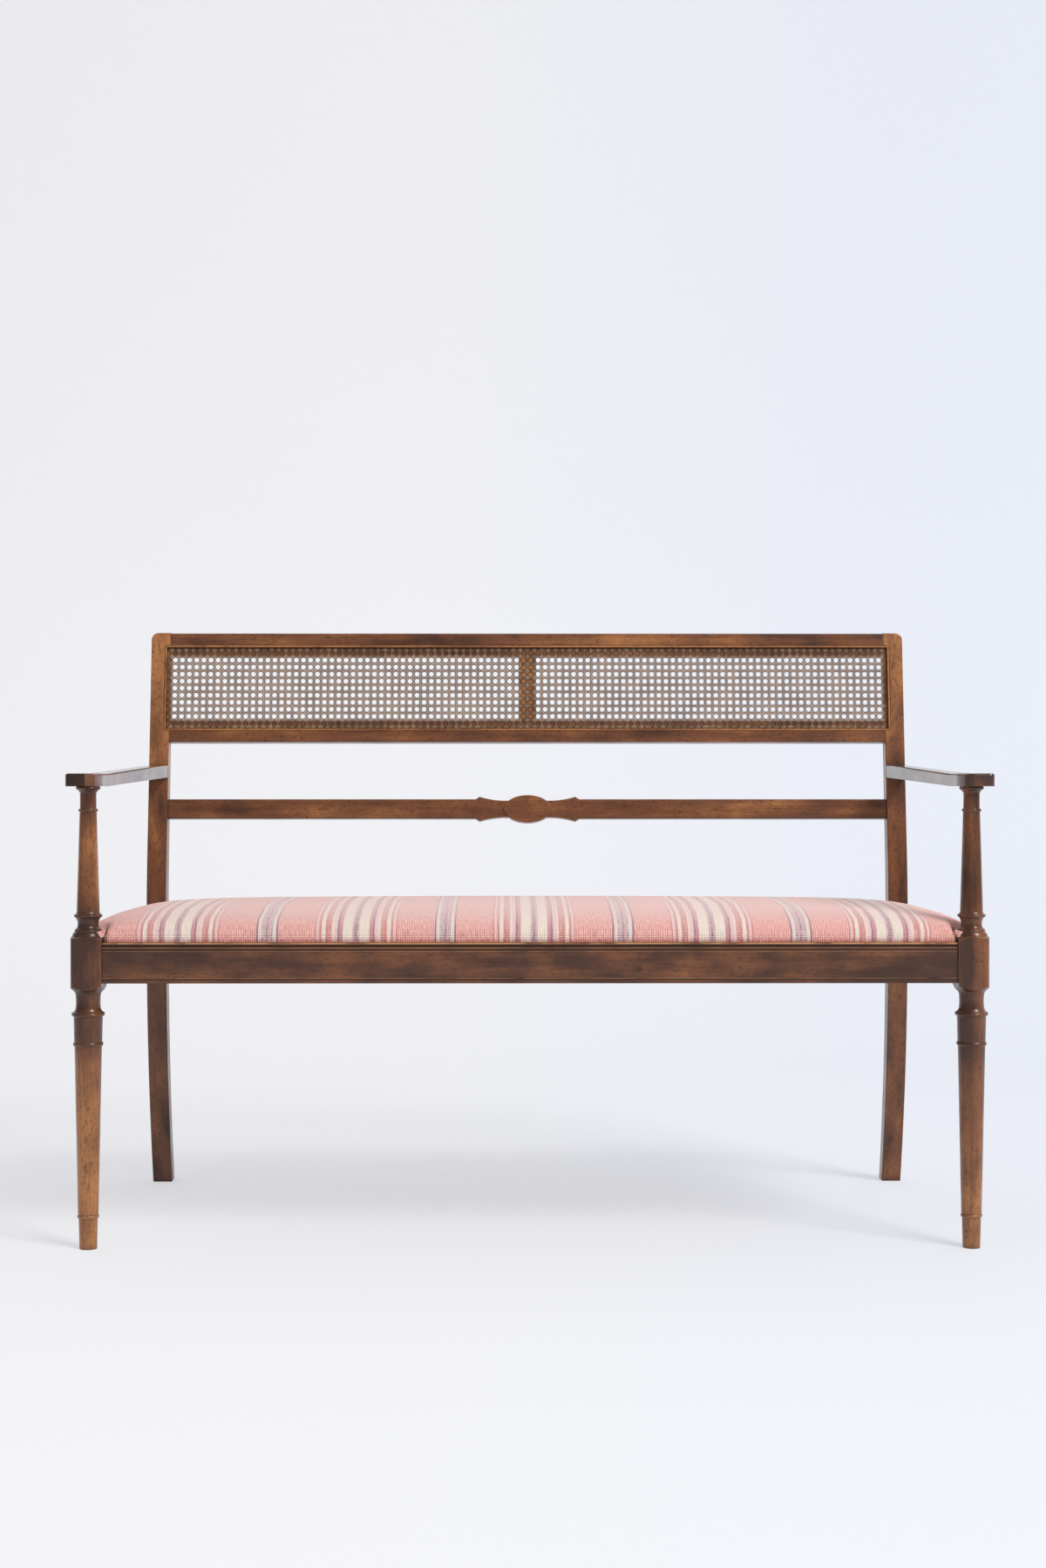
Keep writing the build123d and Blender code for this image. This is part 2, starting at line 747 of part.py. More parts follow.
def screw_lines(end):
    """Head and tip of the two screws of a block: one into the long rail, one into the side rail."""
    plan = corner_block_plan(end)
    way = 1 if end == "front" else -1
    height = rebate_floor - corner_block_drop - corner_block_height / 2
    slant = plan[4] - plan[0]
    into_rail = plan[0] + slant * screw_place
    into_side = plan[0] + slant * (1 - screw_place)
    return [
        (
            Vector(into_rail.X, into_rail.Y - way * screw_head_depth, height),
            Vector(into_rail.X, plan[0].Y - way * screw_bite, height),
        ),
        (
            Vector(into_side.X + screw_head_depth, into_side.Y, height),
            Vector(rail_inside(into_side.Y) + screw_bite, into_side.Y, height),
        ),
    ]


def screw(head, tip, grow=0.0, access=0.0):
    """Countersunk screw between two points; grown, and with access to its head, it is its hole."""
    run = tip - head
    turning = Turning(-access, screw_head_diameter + 2 * grow)
    if access:
        turning.reach(access, screw_head_diameter + 2 * grow)
    turning.reach(screw_head_height, screw_diameter + 2 * grow)
    turning.reach(run.length + grow - screw_head_height, screw_diameter + 2 * grow)
    return Plane(origin=head, z_dir=run) * turning.solid()


def screw_holes():
    """Holes of all the screws."""
    right = [
        screw(head, tip, fit, corner_block_reach / 2)
        for end in ("front", "rear")
        for head, tip in screw_lines(end)
    ]
    return right + [mirror(hole, about=Plane.YZ) for hole in right]


def corner_block(end):
    top = rebate_floor - corner_block_drop
    return plank(corner_block_plan(end), top - corner_block_height, top) - screw_holes()


def corner_screws():
    right = [screw(head, tip) for end in ("front", "rear") for head, tip in screw_lines(end)]
    return Part() + right + [mirror(piece, about=Plane.YZ) for piece in right]


seat_front = rail_front + seat_lip + seat_play
seat_back = rear_rail_back - seat_lip - seat_play
lining = cover_thickness + stuffing_play
frame_low = rebate_floor + cover_thickness
frame_high = frame_low + frame_thickness
web_high = frame_high + 2 * webbing_thickness
stuffing_low = web_high + hessian_thickness


def seat_side(depth, inset=0.0):
    """Half width of the lift-out seat at a depth."""
    return side_face(depth) - seat_lip - seat_play - inset


def seat_plan(side_inset, end_inset):
    """Corners of the tapering plan of the seat, shrunk by insets."""
    front = seat_front + end_inset
    back = seat_back - end_inset
    right = [(seat_side(front, side_inset), front), (seat_side(back, side_inset), back)]
    return right + [(-across, depth) for across, depth in reversed(right)]


def seat_notches(skin):
    """Space of the leg blocks and rear posts beside the seat, grown by a skin."""
    beside_block = block_inner - seat_play - skin
    beside_post = post_inner - seat_play - skin
    far = leg_spacing
    height = (0, overall_height)
    front = board((beside_block, far), (-far, block_back + seat_play + skin), height)
    back = board((beside_post, far), (seat_depth - seat_play - skin, far), height)
    return both_sides(front + back)


def seat_section(height, side_inset, end_inset):
    outline = make_face(Polyline(*seat_plan(side_inset, end_inset), close=True))
    rounding = seat_corner_rounding + max(end_inset, 0.0) * corner_spread
    return Pos(0, 0, height) * fillet(outline.vertices(), rounding)


def seat_form(skin):
    """Crowned body of the seat under a skin: upright in the rebate, full at the roll, domed above."""
    sections = [
        seat_section(rebate_floor + skin, skin, skin),
        seat_section(seat_rail_top, skin, skin),
        seat_section(roll_height, skin - roll_bulge, skin - roll_bulge),
    ]
    for step in range(1, crown_steps + 1):
        turn = radians(90 * step / crown_steps)
        height = roll_height + (crown_height - skin - roll_height) * sin(turn)
        side_inset = skin - roll_bulge + crown_side_run * (1 - cos(turn))
        end_inset = skin - roll_bulge + crown_end_run * (1 - cos(turn))
        sections.append(seat_section(height, side_inset, end_inset))
    return loft(sections, ruled=True) - seat_notches(skin)


def seat_cover():
    """Cloth shell over the padding and the frame, turned under the frame as a hem."""
    hem = lining + hem_width
    opening = plank(seat_plan(hem, hem), 0, frame_low) - seat_notches(hem)
    return seat_form(0.0) - seat_form(cover_thickness) - opening


def seat_padding():
    below = board((-leg_spacing, leg_spacing), (-leg_spacing, leg_spacing), (0, stuffing_low))
    return seat_form(lining) - below


def frame_side_band():
    """Strip of the right side board, at any height."""
    inner = lining + frame_board
    near = -leg_spacing
    far = leg_spacing
    inner_edge = [(seat_side(far, inner), far), (seat_side(near, inner), near)]
    return plank(inner_edge + [(far, near), (far, far)], 0, overall_height)


def frame_tenon(shoulder, tip, grow=0.0):
    """Tenon of the middle board of the loose frame."""
    return board(
        (-frame_board / 2 + rail_tenon_margin, frame_board / 2 - rail_tenon_margin),
        (min(shoulder, tip), max(shoulder, tip)),
        (frame_low + rail_tenon_margin, frame_high - rail_tenon_margin),
        grow,
    )


def seat_frame():
    """Boards of the loose frame, half lapped at the corners."""
    inner = lining + frame_board
    ring = plank(seat_plan(lining, lining), frame_low, frame_high) - seat_notches(lining)
    ring -= plank(seat_plan(inner, inner), frame_low, frame_high)
    wide = (-leg_spacing, leg_spacing)
    front_edge = seat_front + inner
    back_edge = seat_back - inner
    lap = (frame_low + frame_high) / 2
    front_band = board(wide, (-leg_spacing, front_edge), (0, overall_height))
    back_band = board(wide, (back_edge, leg_spacing), (0, overall_height))
    upper = board(wide, wide, (lap, overall_height))
    lower = board(wide, wide, (0, lap))
    side_bands = both_sides(frame_side_band())
    front = (ring & front_band) - (side_bands & upper)
    back = (ring & back_band) - (side_bands & upper)
    side = (ring & frame_side_band()) - (front_band & lower) - (back_band & lower)
    middle = board(
        (-frame_board / 2, frame_board / 2), (front_edge, back_edge), (frame_low, frame_high)
    )
    middle += frame_tenon(front_edge, front_edge - frame_tenon_length)
    middle += frame_tenon(back_edge, back_edge + frame_tenon_length)
    front -= frame_tenon(front_edge, front_edge - frame_tenon_length, fit)
    back -= frame_tenon(back_edge, back_edge + frame_tenon_length, fit)
    return {
        "seat_frame_front": front,
        "seat_frame_rear": back,
        "seat_frame_right": side,
        "seat_frame_left": mirror(side, about=Plane.YZ),
        "seat_frame_middle": middle,
    }


def lengthwise_webbing():
    """Webs along the seat, folded double where they are tacked to the side boards."""
    inner = lining + frame_board
    front = seat_front + inner
    pitch = (seat_back - inner - front) / lengthwise_webs
    webs = []
    for index in range(lengthwise_webs):
        depth = front + pitch * (index + 0.5)
        width = (depth - webbing_width / 2, depth + webbing_width / 2)
        fold_end = seat_side(depth, inner) + webbing_fold
        web = board((-fold_end, fold_end), width, (frame_high, frame_high + webbing_thickness))
        fold = board((seat_side(depth, inner), fold_end), width, (frame_high, web_high))
        webs.append(web + both_sides(fold))
    return Part() + webs


def crosswise_webbing():
    """Webs from front to back over the others, folded double on the front and rear boards."""
    inner = lining + frame_board
    front = seat_front + inner
    back = seat_back - inner
    pitch = 2 * seat_side(back, inner) / crosswise_webs
    webs = []
    for index in range(crosswise_webs):
        across = pitch * (index - (crosswise_webs - 1) / 2)
        width = (across - webbing_width / 2, across + webbing_width / 2)
        length = (front - webbing_fold, back + webbing_fold)
        web = board(width, length, (frame_high + webbing_thickness, web_high))
        web += board(width, (front - webbing_fold, front), (frame_high, web_high))
        web += board(width, (back, back + webbing_fold), (frame_high, web_high))
        webs.append(web)
    return Part() + webs


def hessian():
    edge = lining + hessian_margin
    return plank(seat_plan(edge, edge), web_high, stuffing_low) - seat_notches(edge)


os.makedirs("parts", exist_ok=True)

save_pair("front_leg", front_leg())
save_pair("rear_post", finished_rear_post())
save("front_seat_rail", front_seat_rail())
save("rear_seat_rail", rear_seat_rail())
save_pair("side_seat_rail", side_seat_rail())
save("seat_cross_rail", seat_cross_rail())
save_pair("arm", arm())
top_rail = eased_edge(back_rail(top_rail_low, top_rail_high), -1) - cane_rebate()
top_rail -= muntin_tenon(on_back(top_rail_low), on_back(top_rail_low) + muntin_tenon_length, fit)
save("back_top_rail", back_plane * top_rail)
bottom_rail = eased_edge(back_rail(bottom_rail_low, bottom_rail_high), 0) - cane_rebate()
bottom_rail -= muntin_tenon(on_back(bottom_rail_high), on_back(bottom_rail_high) - muntin_tenon_length, fit)
save("back_bottom_rail", back_plane * bottom_rail)
save("back_mid_rail", back_plane * back_mid_rail())
save("cane_muntin", back_plane * cane_muntin())
save("cane_panel", back_plane * cane_panel())
for node, strip in cane_beads().items():
    save(node, back_plane * strip)
for end in ("front", "rear"):
    save_pair(f"corner_block_{end}", corner_block(end))
save("corner_block_screws", corner_screws())
for node, piece in seat_frame().items():
    save(node, piece)
save("webbing_lengthwise", lengthwise_webbing())
save("webbing_crosswise", crosswise_webbing())
save("hessian", hessian())
save("seat_padding", seat_padding())
save("seat_cover", seat_cover())
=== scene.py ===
from math import cos, pi, radians

import bmesh
import bpy
from mathutils import Matrix, Vector
from mathutils.bvhtree import BVHTree


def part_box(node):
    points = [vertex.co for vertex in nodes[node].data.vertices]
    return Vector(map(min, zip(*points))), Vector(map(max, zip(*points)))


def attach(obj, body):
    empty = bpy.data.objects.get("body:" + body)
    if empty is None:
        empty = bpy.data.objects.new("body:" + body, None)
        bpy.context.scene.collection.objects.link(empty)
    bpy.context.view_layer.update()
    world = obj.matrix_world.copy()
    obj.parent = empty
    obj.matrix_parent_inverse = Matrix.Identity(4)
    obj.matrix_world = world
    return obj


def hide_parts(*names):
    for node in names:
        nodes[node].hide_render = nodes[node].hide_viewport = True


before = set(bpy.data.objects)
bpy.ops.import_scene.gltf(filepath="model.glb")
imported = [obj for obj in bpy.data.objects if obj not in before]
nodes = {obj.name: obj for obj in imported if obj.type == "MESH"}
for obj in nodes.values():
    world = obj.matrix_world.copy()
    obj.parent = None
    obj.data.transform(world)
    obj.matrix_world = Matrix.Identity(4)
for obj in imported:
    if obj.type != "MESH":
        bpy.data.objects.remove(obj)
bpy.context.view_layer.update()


# Front legs: each is one turning of beech, stained and polished long ago, from the foot to the
# pin under the arm. The polish has worn thin and golden on the tapers and stays dark at the
# square blocks, and the left leg has faded more than the right.
def feed(tree, node, inputs):
    """Gives each input of a shader node its value, or the output that feeds it."""
    for name, value in inputs.items():
        if isinstance(value, bpy.types.NodeSocket):
            tree.links.new(value, node.inputs[name])
        else:
            node.inputs[name].default_value = value


def put(tree, kind, inputs=None, **settings):
    """Adds a shader node with its settings and inputs."""
    node = tree.nodes.new("ShaderNode" + kind)
    for name, value in settings.items():
        setattr(node, name, value)
    feed(tree, node, inputs or {})
    return node


def calc(tree, operation, first, second=0.0):
    """One step of arithmetic on values."""
    return put(tree, "Math", {0: first, 1: second}, operation=operation).outputs[0]


def times(tree, first, second):
    """Product of two values."""
    return calc(tree, "MULTIPLY", first, second)


def blend(tree, factor, first, second, way="MIX"):
    """Colour between two colours."""
    return put(tree, "Mix", {0: factor, 6: first, 7: second}, data_type="RGBA", blend_type=way).outputs[2]


def eased(tree, value, start, end):
    """Soft step from 0 at the start to 1 at the end, which may be the lower of the two."""
    reach = {"Value": value, "From Min": start, "From Max": end}
    return put(tree, "MapRange", reach, interpolation_type="SMOOTHSTEP").outputs[0]


def ranged(tree, value, start, end, first=0.0, last=1.0):
    """Straight run from the first level, at the start, to the last level, at the end."""
    reach = {"Value": value, "From Min": start, "From Max": end, "To Min": first, "To Max": last}
    return put(tree, "MapRange", reach).outputs[0]


def ramp(tree, share, stops, way="LINEAR"):
    """Colours at their places from 0 to 1, in order."""
    node = put(tree, "ValToRGB", {0: share})
    node.color_ramp.interpolation = way
    while len(node.color_ramp.elements) < len(stops):
        node.color_ramp.elements.new(0.5)
    for element, (position, colour) in zip(node.color_ramp.elements, stops):
        element.position = position
        element.color = colour
    return node.outputs[0]


def grey(level):
    """Colour that stands for a level."""
    return (level, level, level, 1.0)


def speckle(tree, place, scale, detail=3.0):
    """Noise from 0 to 1, with its own scale along each axis."""
    spread = put(tree, "Mapping", {"Vector": place, "Scale": scale}).outputs[0]
    return put(tree, "TexNoise", {"Vector": spread, "Scale": 1.0, "Detail": detail}).outputs[0]


def object_place(tree):
    """Place on the settee, in metres."""
    return put(tree, "TexCoord").outputs["Object"]


def face_way(tree):
    """Way that the surface faces."""
    return put(tree, "NewGeometry").outputs["Normal"]


def axes(tree, vector):
    """The X, Y and Z of a vector."""
    return put(tree, "SeparateXYZ", {0: vector}).outputs


def effect(name, inputs, outputs):
    """An empty shader group with its sockets: the tree, its inputs and the node for its outputs."""
    tree = bpy.data.node_groups.new(name, "ShaderNodeTree")
    for label, kind in inputs:
        tree.interface.new_socket(label, in_out="INPUT", socket_type="NodeSocket" + kind)
    for label, kind in outputs:
        tree.interface.new_socket(label, in_out="OUTPUT", socket_type="NodeSocket" + kind)
    return tree, tree.nodes.new("NodeGroupInput").outputs, tree.nodes.new("NodeGroupOutput")


def new_material(name):
    """An empty finish: the material, its node tree and its shader."""
    material = bpy.data.materials.new(name)
    material.use_nodes = True
    tree = material.node_tree
    return material, tree, tree.nodes["Principled BSDF"]


fibre_scale = (560.0, 560.0, 15.0)
fleck_scale = (820.0, 820.0, 120.0)
streak_scale = (46.0, 46.0, 3.5)
blotch_scale = (34.0, 34.0, 17.0)
cloud_scale = (6.0, 6.0, 4.0)
mottle_scale = (270.0, 270.0, 150.0)
middle_tone = 1.3
fleck_depth = 0.35
mottle_depth = 0.5
noise_low, noise_high = 0.3, 0.7
dark_fibre, pale_fibre = 0.78, 1.12
dull_polish, clear_polish = 0.42, 0.28
polished_figure, figure_in, figure_out = effect(
    "polished_figure",
    [("Place", "Vector"), ("Tone", "Float"), ("Deep", "Color"), ("Warm", "Color"), ("Golden", "Color")],
    [("Color", "Color"), ("Roughness", "Float"), ("Height", "Float")],
)
tree = polished_figure
place = figure_in["Place"]
fibre = speckle(tree, place, fibre_scale)
fleck = eased(tree, speckle(tree, place, fleck_scale, 1.0), 0.6, 0.7)
streak = speckle(tree, place, streak_scale, 4.0)
blotch = speckle(tree, place, blotch_scale, 5.0)
cloud = speckle(tree, place, cloud_scale, 2.0)
tone = calc(tree, "SUBTRACT", figure_in["Tone"], middle_tone)
for pattern, strength in ((blotch, 1.1), (streak, 1.2), (cloud, 1.3)):
    tone = calc(tree, "ADD", tone, times(tree, pattern, strength))
colour = blend(tree, eased(tree, tone, 0.0, 0.6), figure_in["Deep"], figure_in["Warm"])
colour = blend(tree, eased(tree, tone, 0.5, 1.2), colour, figure_in["Golden"])
mottle = eased(tree, speckle(tree, place, mottle_scale), 0.52, 0.68)
marks = calc(tree, "MAXIMUM", times(tree, fleck, fleck_depth), times(tree, mottle, mottle_depth))
colour = blend(tree, marks, colour, figure_in["Deep"])
shade = ranged(tree, fibre, noise_low, noise_high, dark_fibre, pale_fibre)
colour = blend(tree, 1.0, colour, shade, "MULTIPLY")
gloss = ranged(tree, blotch, noise_low, noise_high, dull_polish, clear_polish)
feed(tree, figure_out, {"Color": colour, "Roughness": gloss, "Height": fibre})

grime_and_shade_reach = 0.012
rub_scale = (70.0, 70.0, 28.0)
worn_and_shaded_edges, edge_in, edge_out = effect(
    "worn_and_shaded_edges",
    [("Place", "Vector"), ("Width", "Float")],
    [("Wear", "Float"), ("Shade and grime", "Float"), ("Normal", "Vector")],
)
tree = worn_and_shaded_edges
rounded = put(tree, "Bevel", {"Radius": edge_in["Width"]}, samples=6).outputs[0]
turn = put(tree, "VectorMath", {0: rounded, 1: face_way(tree)}, operation="DOT_PRODUCT").outputs["Value"]
open_air = put(tree, "AmbientOcclusion", {"Distance": grime_and_shade_reach}, samples=6).outputs["AO"]
rub = eased(tree, speckle(tree, edge_in["Place"], rub_scale), 0.36, 0.62)
wear = times(tree, eased(tree, calc(tree, "SUBTRACT", 1.0, turn), 0.02, 0.2), rub)
wear = times(tree, wear, eased(tree, open_air, 0.55, 0.9))
# Grime and painted shade: darker where the occlusion test finds the surface closed in.
grime_and_shade = calc(tree, "SUBTRACT", 1.0, eased(tree, open_air, 0.25, 0.95))
feed(tree, edge_out, {"Wear": wear, "Shade and grime": grime_and_shade, "Normal": rounded})

deep_stain_and_shade = (0.052, 0.018, 0.009, 1.0)
warm_stain = (0.165, 0.058, 0.022, 1.0)
golden_wood = (0.380, 0.155, 0.050, 1.0)
bared_and_lit_wood = (0.440, 0.220, 0.085, 1.0)
grain_up = (0.0, 0.0, 0.0)
grain_along = (0.0, pi / 2, 0.0)
grain_back = (pi / 2, 0.0, 0.0)
grain_strength = 0.12
grain_depth = 0.0006
polish_coat = 0.35
polish_roughness = 0.14
stain_shine = 0.3


def polished_wood(name, grain, tone, wear=0.55, grime_and_shade=0.75, edge_width=0.0022):
    """Stained and polished beech with its grain one way; returns the material and its figure node."""
    material, tree, principled = new_material(name)
    place = put(tree, "Mapping", {"Vector": object_place(tree), "Rotation": grain}).outputs[0]
    stains = {"Deep": deep_stain_and_shade, "Warm": warm_stain, "Golden": golden_wood}
    figure = put(tree, "Group", {"Place": place, "Tone": tone, **stains}, node_tree=polished_figure)
    edges = put(tree, "Group", {"Place": place, "Width": edge_width}, node_tree=worn_and_shaded_edges).outputs
    colour = blend(tree, times(tree, edges["Wear"], wear), figure.outputs["Color"], bared_and_lit_wood)
    # Grime and painted shade: the deep stain colour laid into the occluded crevices and joins.
    colour = blend(tree, times(tree, edges["Shade and grime"], grime_and_shade), colour, deep_stain_and_shade)
    relief = {"Height": figure.outputs["Height"], "Strength": grain_strength, "Distance": grain_depth}
    bump = put(tree, "Bump", {"Normal": edges["Normal"], **relief}).outputs[0]
    feed(tree, principled, {"Base Color": colour, "Roughness": figure.outputs["Roughness"], "Normal": bump})
    feed(tree, principled, {"Coat Weight": polish_coat, "Coat Roughness": polish_roughness})
    feed(tree, principled, {"Specular IOR Level": stain_shine})
    return material, figure


def mark_wood(tree, mask, colour):
    """Lays a mark of another colour over a wood that is already made."""
    base = tree.nodes["Principled BSDF"].inputs["Base Color"]
    tree.links.new(blend(tree, mask, base.links[0].from_socket, colour), base)


def finish_nodes(material, *names):
    """Gives CAD nodes their material."""
    for name in names:
        mesh = nodes[name].data
        mesh.materials.clear()
        mesh.materials.append(material)


# How far the polish has faded at shares of the leg's height, from the foot up.
leg_fading = (
    (0.0, 1.0), (0.065, 0.8), (0.40, 0.74), (0.445, 0.2), (0.68, 0.0),
    (0.76, 0.4), (0.86, 0.72), (0.93, 0.3), (1.0, 0.1),
)
leg_darkness = 0.3
leg_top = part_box("front_leg_left")[1].z
leg_wood, leg_figure = polished_wood("leg_wood", grain_up, tone=0.0)
tree = leg_wood.node_tree
where = axes(tree, object_place(tree))
rise = ranged(tree, where["Z"], 0.0, leg_top)
fading = ramp(tree, rise, [(share, grey(level)) for share, level in leg_fading])
kept_at_right = times(tree, ranged(tree, rise, 0.1, 0.7, 0.2, 0.9), eased(tree, where["X"], -0.1, 0.1))
faded = times(tree, fading, calc(tree, "SUBTRACT", 1.0, kept_at_right))
feed(tree, leg_figure, {"Tone": calc(tree, "SUBTRACT", faded, leg_darkness)})
finish_nodes(leg_wood, "front_leg_left", "front_leg_right")


# Rear posts: each is sawn from one plank, a swept leg below the seat and raked back above it. They
# have faded to gold towards the top, and so has the upright behind the middle of the cane.
low_post_tone, high_post_tone = -0.12, 0.46
fade_from, fade_to = 0.5, 0.8
post_wood, post_figure = polished_wood("post_wood", grain_up, tone=0.0)
tree = post_wood.node_tree
height = axes(tree, object_place(tree))["Z"]
feed(tree, post_figure, {"Tone": ranged(tree, height, fade_from, fade_to, low_post_tone, high_post_tone)})
finish_nodes(post_wood, "rear_post_left", "rear_post_right", "cane_muntin")


# Seat rails: lengths of straight-grained beech tenoned into the legs and posts, the darkest of the
# settee. The front rail has mouldings along both edges, rubbed bare and painted with highlights on
# their ridges, dirty and painted with shade in their hollows, and a small knot.
bare_and_lit, plain, dirty_and_shaded = 1.0, 0.5, 0.0
# Millimetres below the top of the front rail, and the level there: worn and highlighted at 1, dirty and
# shaded at 0.
rail_lines = (
    (0.0, plain), (0.6, bare_and_lit), (1.9, bare_and_lit), (3.4, dirty_and_shaded), (6.2, dirty_and_shaded), (6.8, 0.9), (7.1, 0.9),
    (7.7, 0.3), (9.9, dirty_and_shaded), (11.0, dirty_and_shaded), (11.6, 0.85), (12.4, plain), (47.4, plain),
    (48.2, 0.85), (48.8, plain), (49.1, dirty_and_shaded), (50.0, dirty_and_shaded), (51.0, 0.35), (53.6, 0.35),
    (54.2, 0.8), (54.7, dirty_and_shaded),
)
ridge_wear_and_highlight = 0.85
hollow_dirt_and_shade = 0.85
rubbed_scale = (30.0, 30.0, 30.0)
knot_x, knot_z = 0.1455, 0.3786
knot_reach = 0.006
knot_stretch = 0.7
rail_low, rail_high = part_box("front_seat_rail")
rail_depth = rail_high.z - rail_low.z
front_rail_wood, _ = polished_wood("front_rail_wood", grain_along, tone=-0.27, wear=0.7, edge_width=0.0012)
tree = front_rail_wood.node_tree
where = axes(tree, object_place(tree))
drop = ranged(tree, where["Z"], rail_high.z, rail_low.z)
moulding = ramp(tree, drop, [(below / 1000 / rail_depth, grey(level)) for below, level in rail_lines])
front_face = eased(tree, axes(tree, face_way(tree))["Y"], -0.1, -0.5)
rubbed = eased(tree, speckle(tree, object_place(tree), rubbed_scale), 0.25, 0.6)
# Worn ridges with painted highlights along the moulding's lines.
lit_ridges = times(tree, eased(tree, moulding, plain, bare_and_lit), times(tree, rubbed, ridge_wear_and_highlight))
mark_wood(tree, times(tree, lit_ridges, front_face), bared_and_lit_wood)
# Dirt and painted shade in the moulding's hollows.
shaded_hollows = times(tree, eased(tree, moulding, plain, dirty_and_shaded), hollow_dirt_and_shade)
mark_wood(tree, times(tree, shaded_hollows, front_face), deep_stain_and_shade)
aside = times(tree, calc(tree, "SUBTRACT", where["X"], knot_x), knot_stretch)
above = calc(tree, "SUBTRACT", where["Z"], knot_z)
off_knot = put(tree, "CombineXYZ", {0: aside, 1: above}).outputs[0]
knot_distance = put(tree, "VectorMath", {0: off_knot}, operation="LENGTH").outputs["Value"]
mark_wood(tree, eased(tree, knot_distance, knot_reach, knot_reach / 4), deep_stain_and_shade)
finish_nodes(front_rail_wood, "front_seat_rail", "rear_seat_rail")
side_rail_wood, _ = polished_wood("side_rail_wood", grain_back, tone=-0.2)
finish_nodes(side_rail_wood, "side_seat_rail_left", "side_seat_rail_right")


# Arms: flat shaped lengths of beech, each on the pin of a leg and tenoned into a post. Their sides
# are the glossiest wood of the settee, and the left arm's end grain is dull and nearly black.
arm_coat = 0.9
arm_coat_ior = 1.9
end_dullness = 0.75
end_darkness = 0.85
end_stain = (0.022, 0.012, 0.010, 1.0)
arm_wood, _ = polished_wood("arm_wood", grain_back, tone=-0.3)
tree = arm_wood.node_tree
side_way = axes(tree, object_place(tree))["X"]
front_end = eased(tree, axes(tree, face_way(tree))["Y"], -0.6, -0.9)
end_grain = times(tree, front_end, eased(tree, side_way, 0.6, -0.6))
mark_wood(tree, times(tree, end_grain, end_darkness), end_stain)
coat = calc(tree, "SUBTRACT", arm_coat, times(tree, end_grain, end_dullness))
feed(tree, tree.nodes["Principled BSDF"], {"Coat Weight": coat, "Coat IOR": arm_coat_ior})
finish_nodes(arm_wood, "arm_left", "arm_right")


# Back rails: the top and bottom rails are rebated for the cane, and the middle rail below them has
# an oval tablet between pointed flanks. All are tenoned into the posts, and a dark line of dirt and
# painted shade, standing in for a scratched groove, runs along the lower edge of the middle rail
# beside the tablet.
back_rail_tone = 0.08
back_rail_wood, _ = polished_wood("back_rail_wood", grain_along, tone=back_rail_tone, grime_and_shade=0.95)
finish_nodes(back_rail_wood, "back_top_rail", "back_bottom_rail")
line_rise = 0.0027
line_reach = 0.0007
line_start = 0.080
line_ease = 0.004
groove_shade = (0.02, 0.008, 0.005, 1.0)
mid_rail = nodes["back_mid_rail"].data
lower_edge = min(vert.co.z for vert in mid_rail.vertices if abs(vert.co.x) > 2 * line_start)
mid_rail_wood, _ = polished_wood("mid_rail_wood", grain_along, tone=back_rail_tone)
tree = mid_rail_wood.node_tree
where = axes(tree, object_place(tree))
# Dirt and painted shade: a dark line for the scratched groove, which the mesh does not have.
off_line = calc(tree, "ABSOLUTE", calc(tree, "SUBTRACT", where["Z"], lower_edge + line_rise))
off_tablet = calc(tree, "ABSOLUTE", where["X"])
groove_shade_mask = eased(tree, off_line, line_reach, line_reach / 3)
groove_shade_mask = times(tree, groove_shade_mask, eased(tree, off_tablet, line_start - line_ease, line_start))
mark_wood(tree, groove_shade_mask, groove_shade)
finish_nodes(mid_rail_wood, "back_mid_rail")


# Woven cane: split cane in pairs up and across the back, locked by single diagonals that pass
# between the holes. It is trapped in the rebate of the back's rails by thin beads, golden on
# their fronts, with painted shade darkening their flanks.
cane_columns = 50
rim_show = 0.0018
cane_pitch = (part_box("rear_post_right")[0].x - rim_show) / cane_columns
pair_gap = 0.0020
pair_width = 0.0015
diagonal_width = 0.0010
cane_rise = 0.00035
cane_skin = 0.0004
strip_crown = cane_skin / 2
upright_steps, crossing_steps, diagonal_steps = 8, 6, 5
panel_low, panel_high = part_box("cane_panel")
bead_top = sum(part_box("cane_bead_top"), Vector()) / 2
bead_bottom = sum(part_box("cane_bead_bottom"), Vector()) / 2
up_back = (bead_top - bead_bottom).normalized()
out_front = Vector((1, 0, 0)).cross(up_back)
on_panel = Matrix((Vector((1, 0, 0)), up_back, out_front)).transposed().to_4x4()
on_panel.translation = (panel_low + panel_high) / 2
panel_half_width = (panel_high.x - panel_low.x) / 2
panel_half_height = (bead_top - bead_bottom).length / 2
columns = int(panel_half_width / cane_pitch) + 1
rows = int(panel_half_height / cane_pitch) + 1

bead_wood, _ = polished_wood("bead_wood", grain_along, tone=0.65, wear=0.9, grime_and_shade=0.25, edge_width=0.0010)
tree = bead_wood.node_tree
to_front = put(tree, "VectorMath", {0: face_way(tree), 1: out_front}, operation="DOT_PRODUCT")
# Painted shade: the beads darken as their faces turn away from the front.
shaded_flank = eased(tree, to_front.outputs["Value"], 0.75, 0.35)
mark_wood(tree, shaded_flank, deep_stain_and_shade)
finish_nodes(bead_wood, "cane_bead_top", "cane_bead_bottom", "cane_bead_left", "cane_bead_right")


def new_piece(name, form):
    """Makes an object of a finished bmesh."""
    mesh = bpy.data.meshes.new(name)
    form.to_mesh(mesh)
    form.free()
    piece = bpy.data.objects.new(name, mesh)
    bpy.context.scene.collection.objects.link(piece)
    return piece


